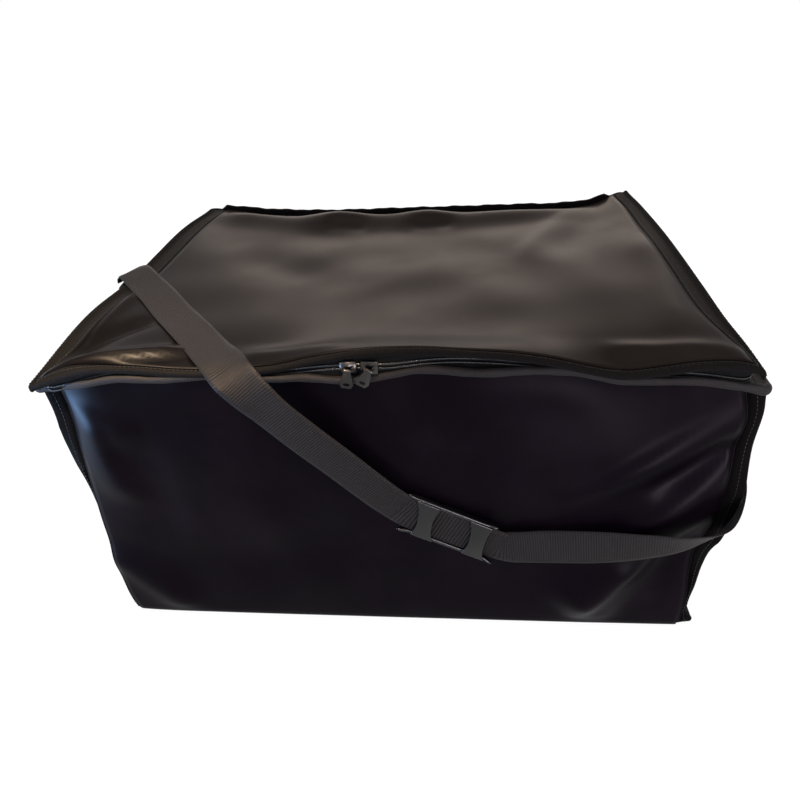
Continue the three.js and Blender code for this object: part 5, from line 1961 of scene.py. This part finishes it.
@dataclass
class Studio:
    """The camera, floor, backdrop and lights."""

    eye: Spot = (69.3, -656.4, 595.1)
    yaw: float = 0.11907
    pitch: float = 0.60496
    roll: float = 0.07478
    lens: float = 26.918
    floor_reach: float = 6.0
    floor_drop: float = 0.0006
    floor_colour: float = 0.82
    floor_glow: float = 1.14
    glow_share: float = 0.84
    dim_light: float = 0.32
    spot_place: Spot = (-0.4, -1.3, 2.3)
    spot_target: Spot = (-0.215, -0.215, 0.338)
    SOFTBOXES = (
        Softbox("back_softbox", (0.05, 2.3, 0.95), (0, 0.0, 0.33), (2.4, 0.5), 13.0, (1.0, 0.78, 0.64)),
        Softbox("top_softbox", (0.1, -0.2, 2.5), (0, 0, 0.2), (2.2, 2.2), 26.0, (1.0, 0.93, 0.88)),
        Softbox("front_fill", (0.3, -2.6, 1.35), (0, 0, 0.15), (2.6, 1.2), 12.0, (0.9, 0.9, 1.0)),
        Softbox("left_window", (-2.3, -1.0, 0.75), (-0.28, -0.22, 0.2), (0.6, 0.8), 11.0, (0.62, 0.8, 1.0)),
        Softbox("low_window", (-0.98, -0.5, 0.08), (-0.29, -0.23, 0.2), (0.5, 0.2), 17.0, (0.3, 0.55, 1.0),
                gloss_only=True),
        Softbox("low_front", (0.7, -1.3, 0.22), (0.15, -0.24, 0.1), (0.8, 0.36), 22.0, (1.0, 0.93, 1.0),
                gloss_only=True),
        Softbox("warm_back", (-0.8, 0.22, 2.2), (-0.2, -0.2, 0.33), (0.45, 0.35), 20.0, (1.0, 0.74, 0.5),
                gloss_only=True),
    )

    def build(self) -> None:
        """Places the camera, the floor, the backdrop and the lights."""
        self.camera()
        self.floor()
        self.world()
        for softbox in self.SOFTBOXES:
            softbox.light()
        self.spot()
        bpy.context.scene.view_settings.view_transform = "Standard"

    def spot(self) -> None:
        """A narrow warm light on the lid's front left corner, which shows in reflections alone."""
        data = bpy.data.lights.new("warm_spot", "SPOT")
        data.energy = 3200.0
        data.color = (1.0, 0.72, 0.48)
        data.spot_size = math.radians(12.0)
        data.spot_blend = 1.0
        data.shadow_soft_size = 0.12
        lamp = linked("warm_spot", data)
        way = Vector(np.array(self.spot_target) - np.array(self.spot_place))
        lamp.matrix_world = Matrix.LocRotScale(
            Vector(self.spot_place), way.to_track_quat("-Z", "Y"), Vector((1, 1, 1)))
        lamp.visible_diffuse = False

    def camera(self) -> None:
        """The camera at the photograph's viewing angle."""
        cos, sin = math.cos, math.sin
        back = np.array([sin(self.yaw) * cos(self.pitch), -cos(self.yaw) * cos(self.pitch), sin(self.pitch)])
        level = np.array([cos(self.yaw), sin(self.yaw), 0.0])
        over = np.cross(back, level)
        right = cos(self.roll) * level - sin(self.roll) * over
        above = sin(self.roll) * level + cos(self.roll) * over
        data = bpy.data.cameras.new("photo_camera")
        data.sensor_width = 36.0
        data.lens = self.lens
        data.clip_end = 50.0
        camera = linked("photo_camera", data)
        turned = Matrix(np.column_stack([right, above, back]).tolist()).to_4x4()
        turned.translation = [value * MM for value in self.eye]
        camera.matrix_world = turned
        bpy.context.scene.camera = camera

    def floor(self) -> None:
        """A wide pale floor that shows white to the camera but keeps the bag's shadow."""
        mesh = bpy.data.meshes.new("studio_floor")
        reach = self.floor_reach
        mesh.from_pydata([(-reach, -reach, 0), (reach, -reach, 0), (reach, reach, 0), (-reach, reach, 0)], [],
                         [(0, 1, 2, 3)])
        floor = linked("studio_floor", mesh)
        floor.location = (0.0, 0.0, -self.floor_drop)
        material = bpy.data.materials.new("studio_floor")
        tree = fresh_tree(material)
        grey = self.floor_colour
        paper = tree.node("ShaderNodeBsdfDiffuse", {"Color": (grey, grey, grey, 1.0)}).outputs["BSDF"]
        glow = tree.node("ShaderNodeEmission", {"Color": (1, 1, 1, 1), "Strength": self.floor_glow})
        lit = tree.node("ShaderNodeMixShader", {0: self.glow_share, 1: paper, 2: glow.outputs["Emission"]})
        mixed = tree.node("ShaderNodeMixShader", {0: seen_plainly(tree), 1: paper, 2: lit.outputs[0]})
        tree.node("ShaderNodeOutputMaterial", {"Surface": mixed.outputs["Shader"]})
        mesh.materials.append(material)

    def world(self) -> None:
        """A white backdrop to the camera and to reflections, and a dim even light otherwise."""
        world = bpy.data.worlds.new("studio")
        tree = fresh_tree(world)
        dim = tree.node("ShaderNodeBackground", {"Color": (1.0, 0.99, 0.98, 1), "Strength": self.dim_light})
        white = tree.node("ShaderNodeBackground", {"Color": (1, 1, 1, 1), "Strength": 1.0})
        mixed = tree.node("ShaderNodeMixShader", {
            0: seen_plainly(tree), 1: dim.outputs["Background"], 2: white.outputs["Background"]})
        tree.node("ShaderNodeOutputWorld", {"Surface": mixed.outputs["Shader"]})
        bpy.context.scene.world = world


def main() -> None:
    """Builds the bag's sub-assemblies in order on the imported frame."""
    logging.basicConfig(level=logging.INFO, format="%(message)s")
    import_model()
    Studio().build()
    for assembly in (Case(), Bindings(), Lid(), Zip(), Sliders(), Strap(), Adjuster()):
        for piece in assembly.build():
            LOG.info("%s: %s, %d faces", type(assembly).__name__, piece.name, len(piece.data.polygons))
    bpy.context.view_layer.update()


if __name__ == "__main__":
    main()
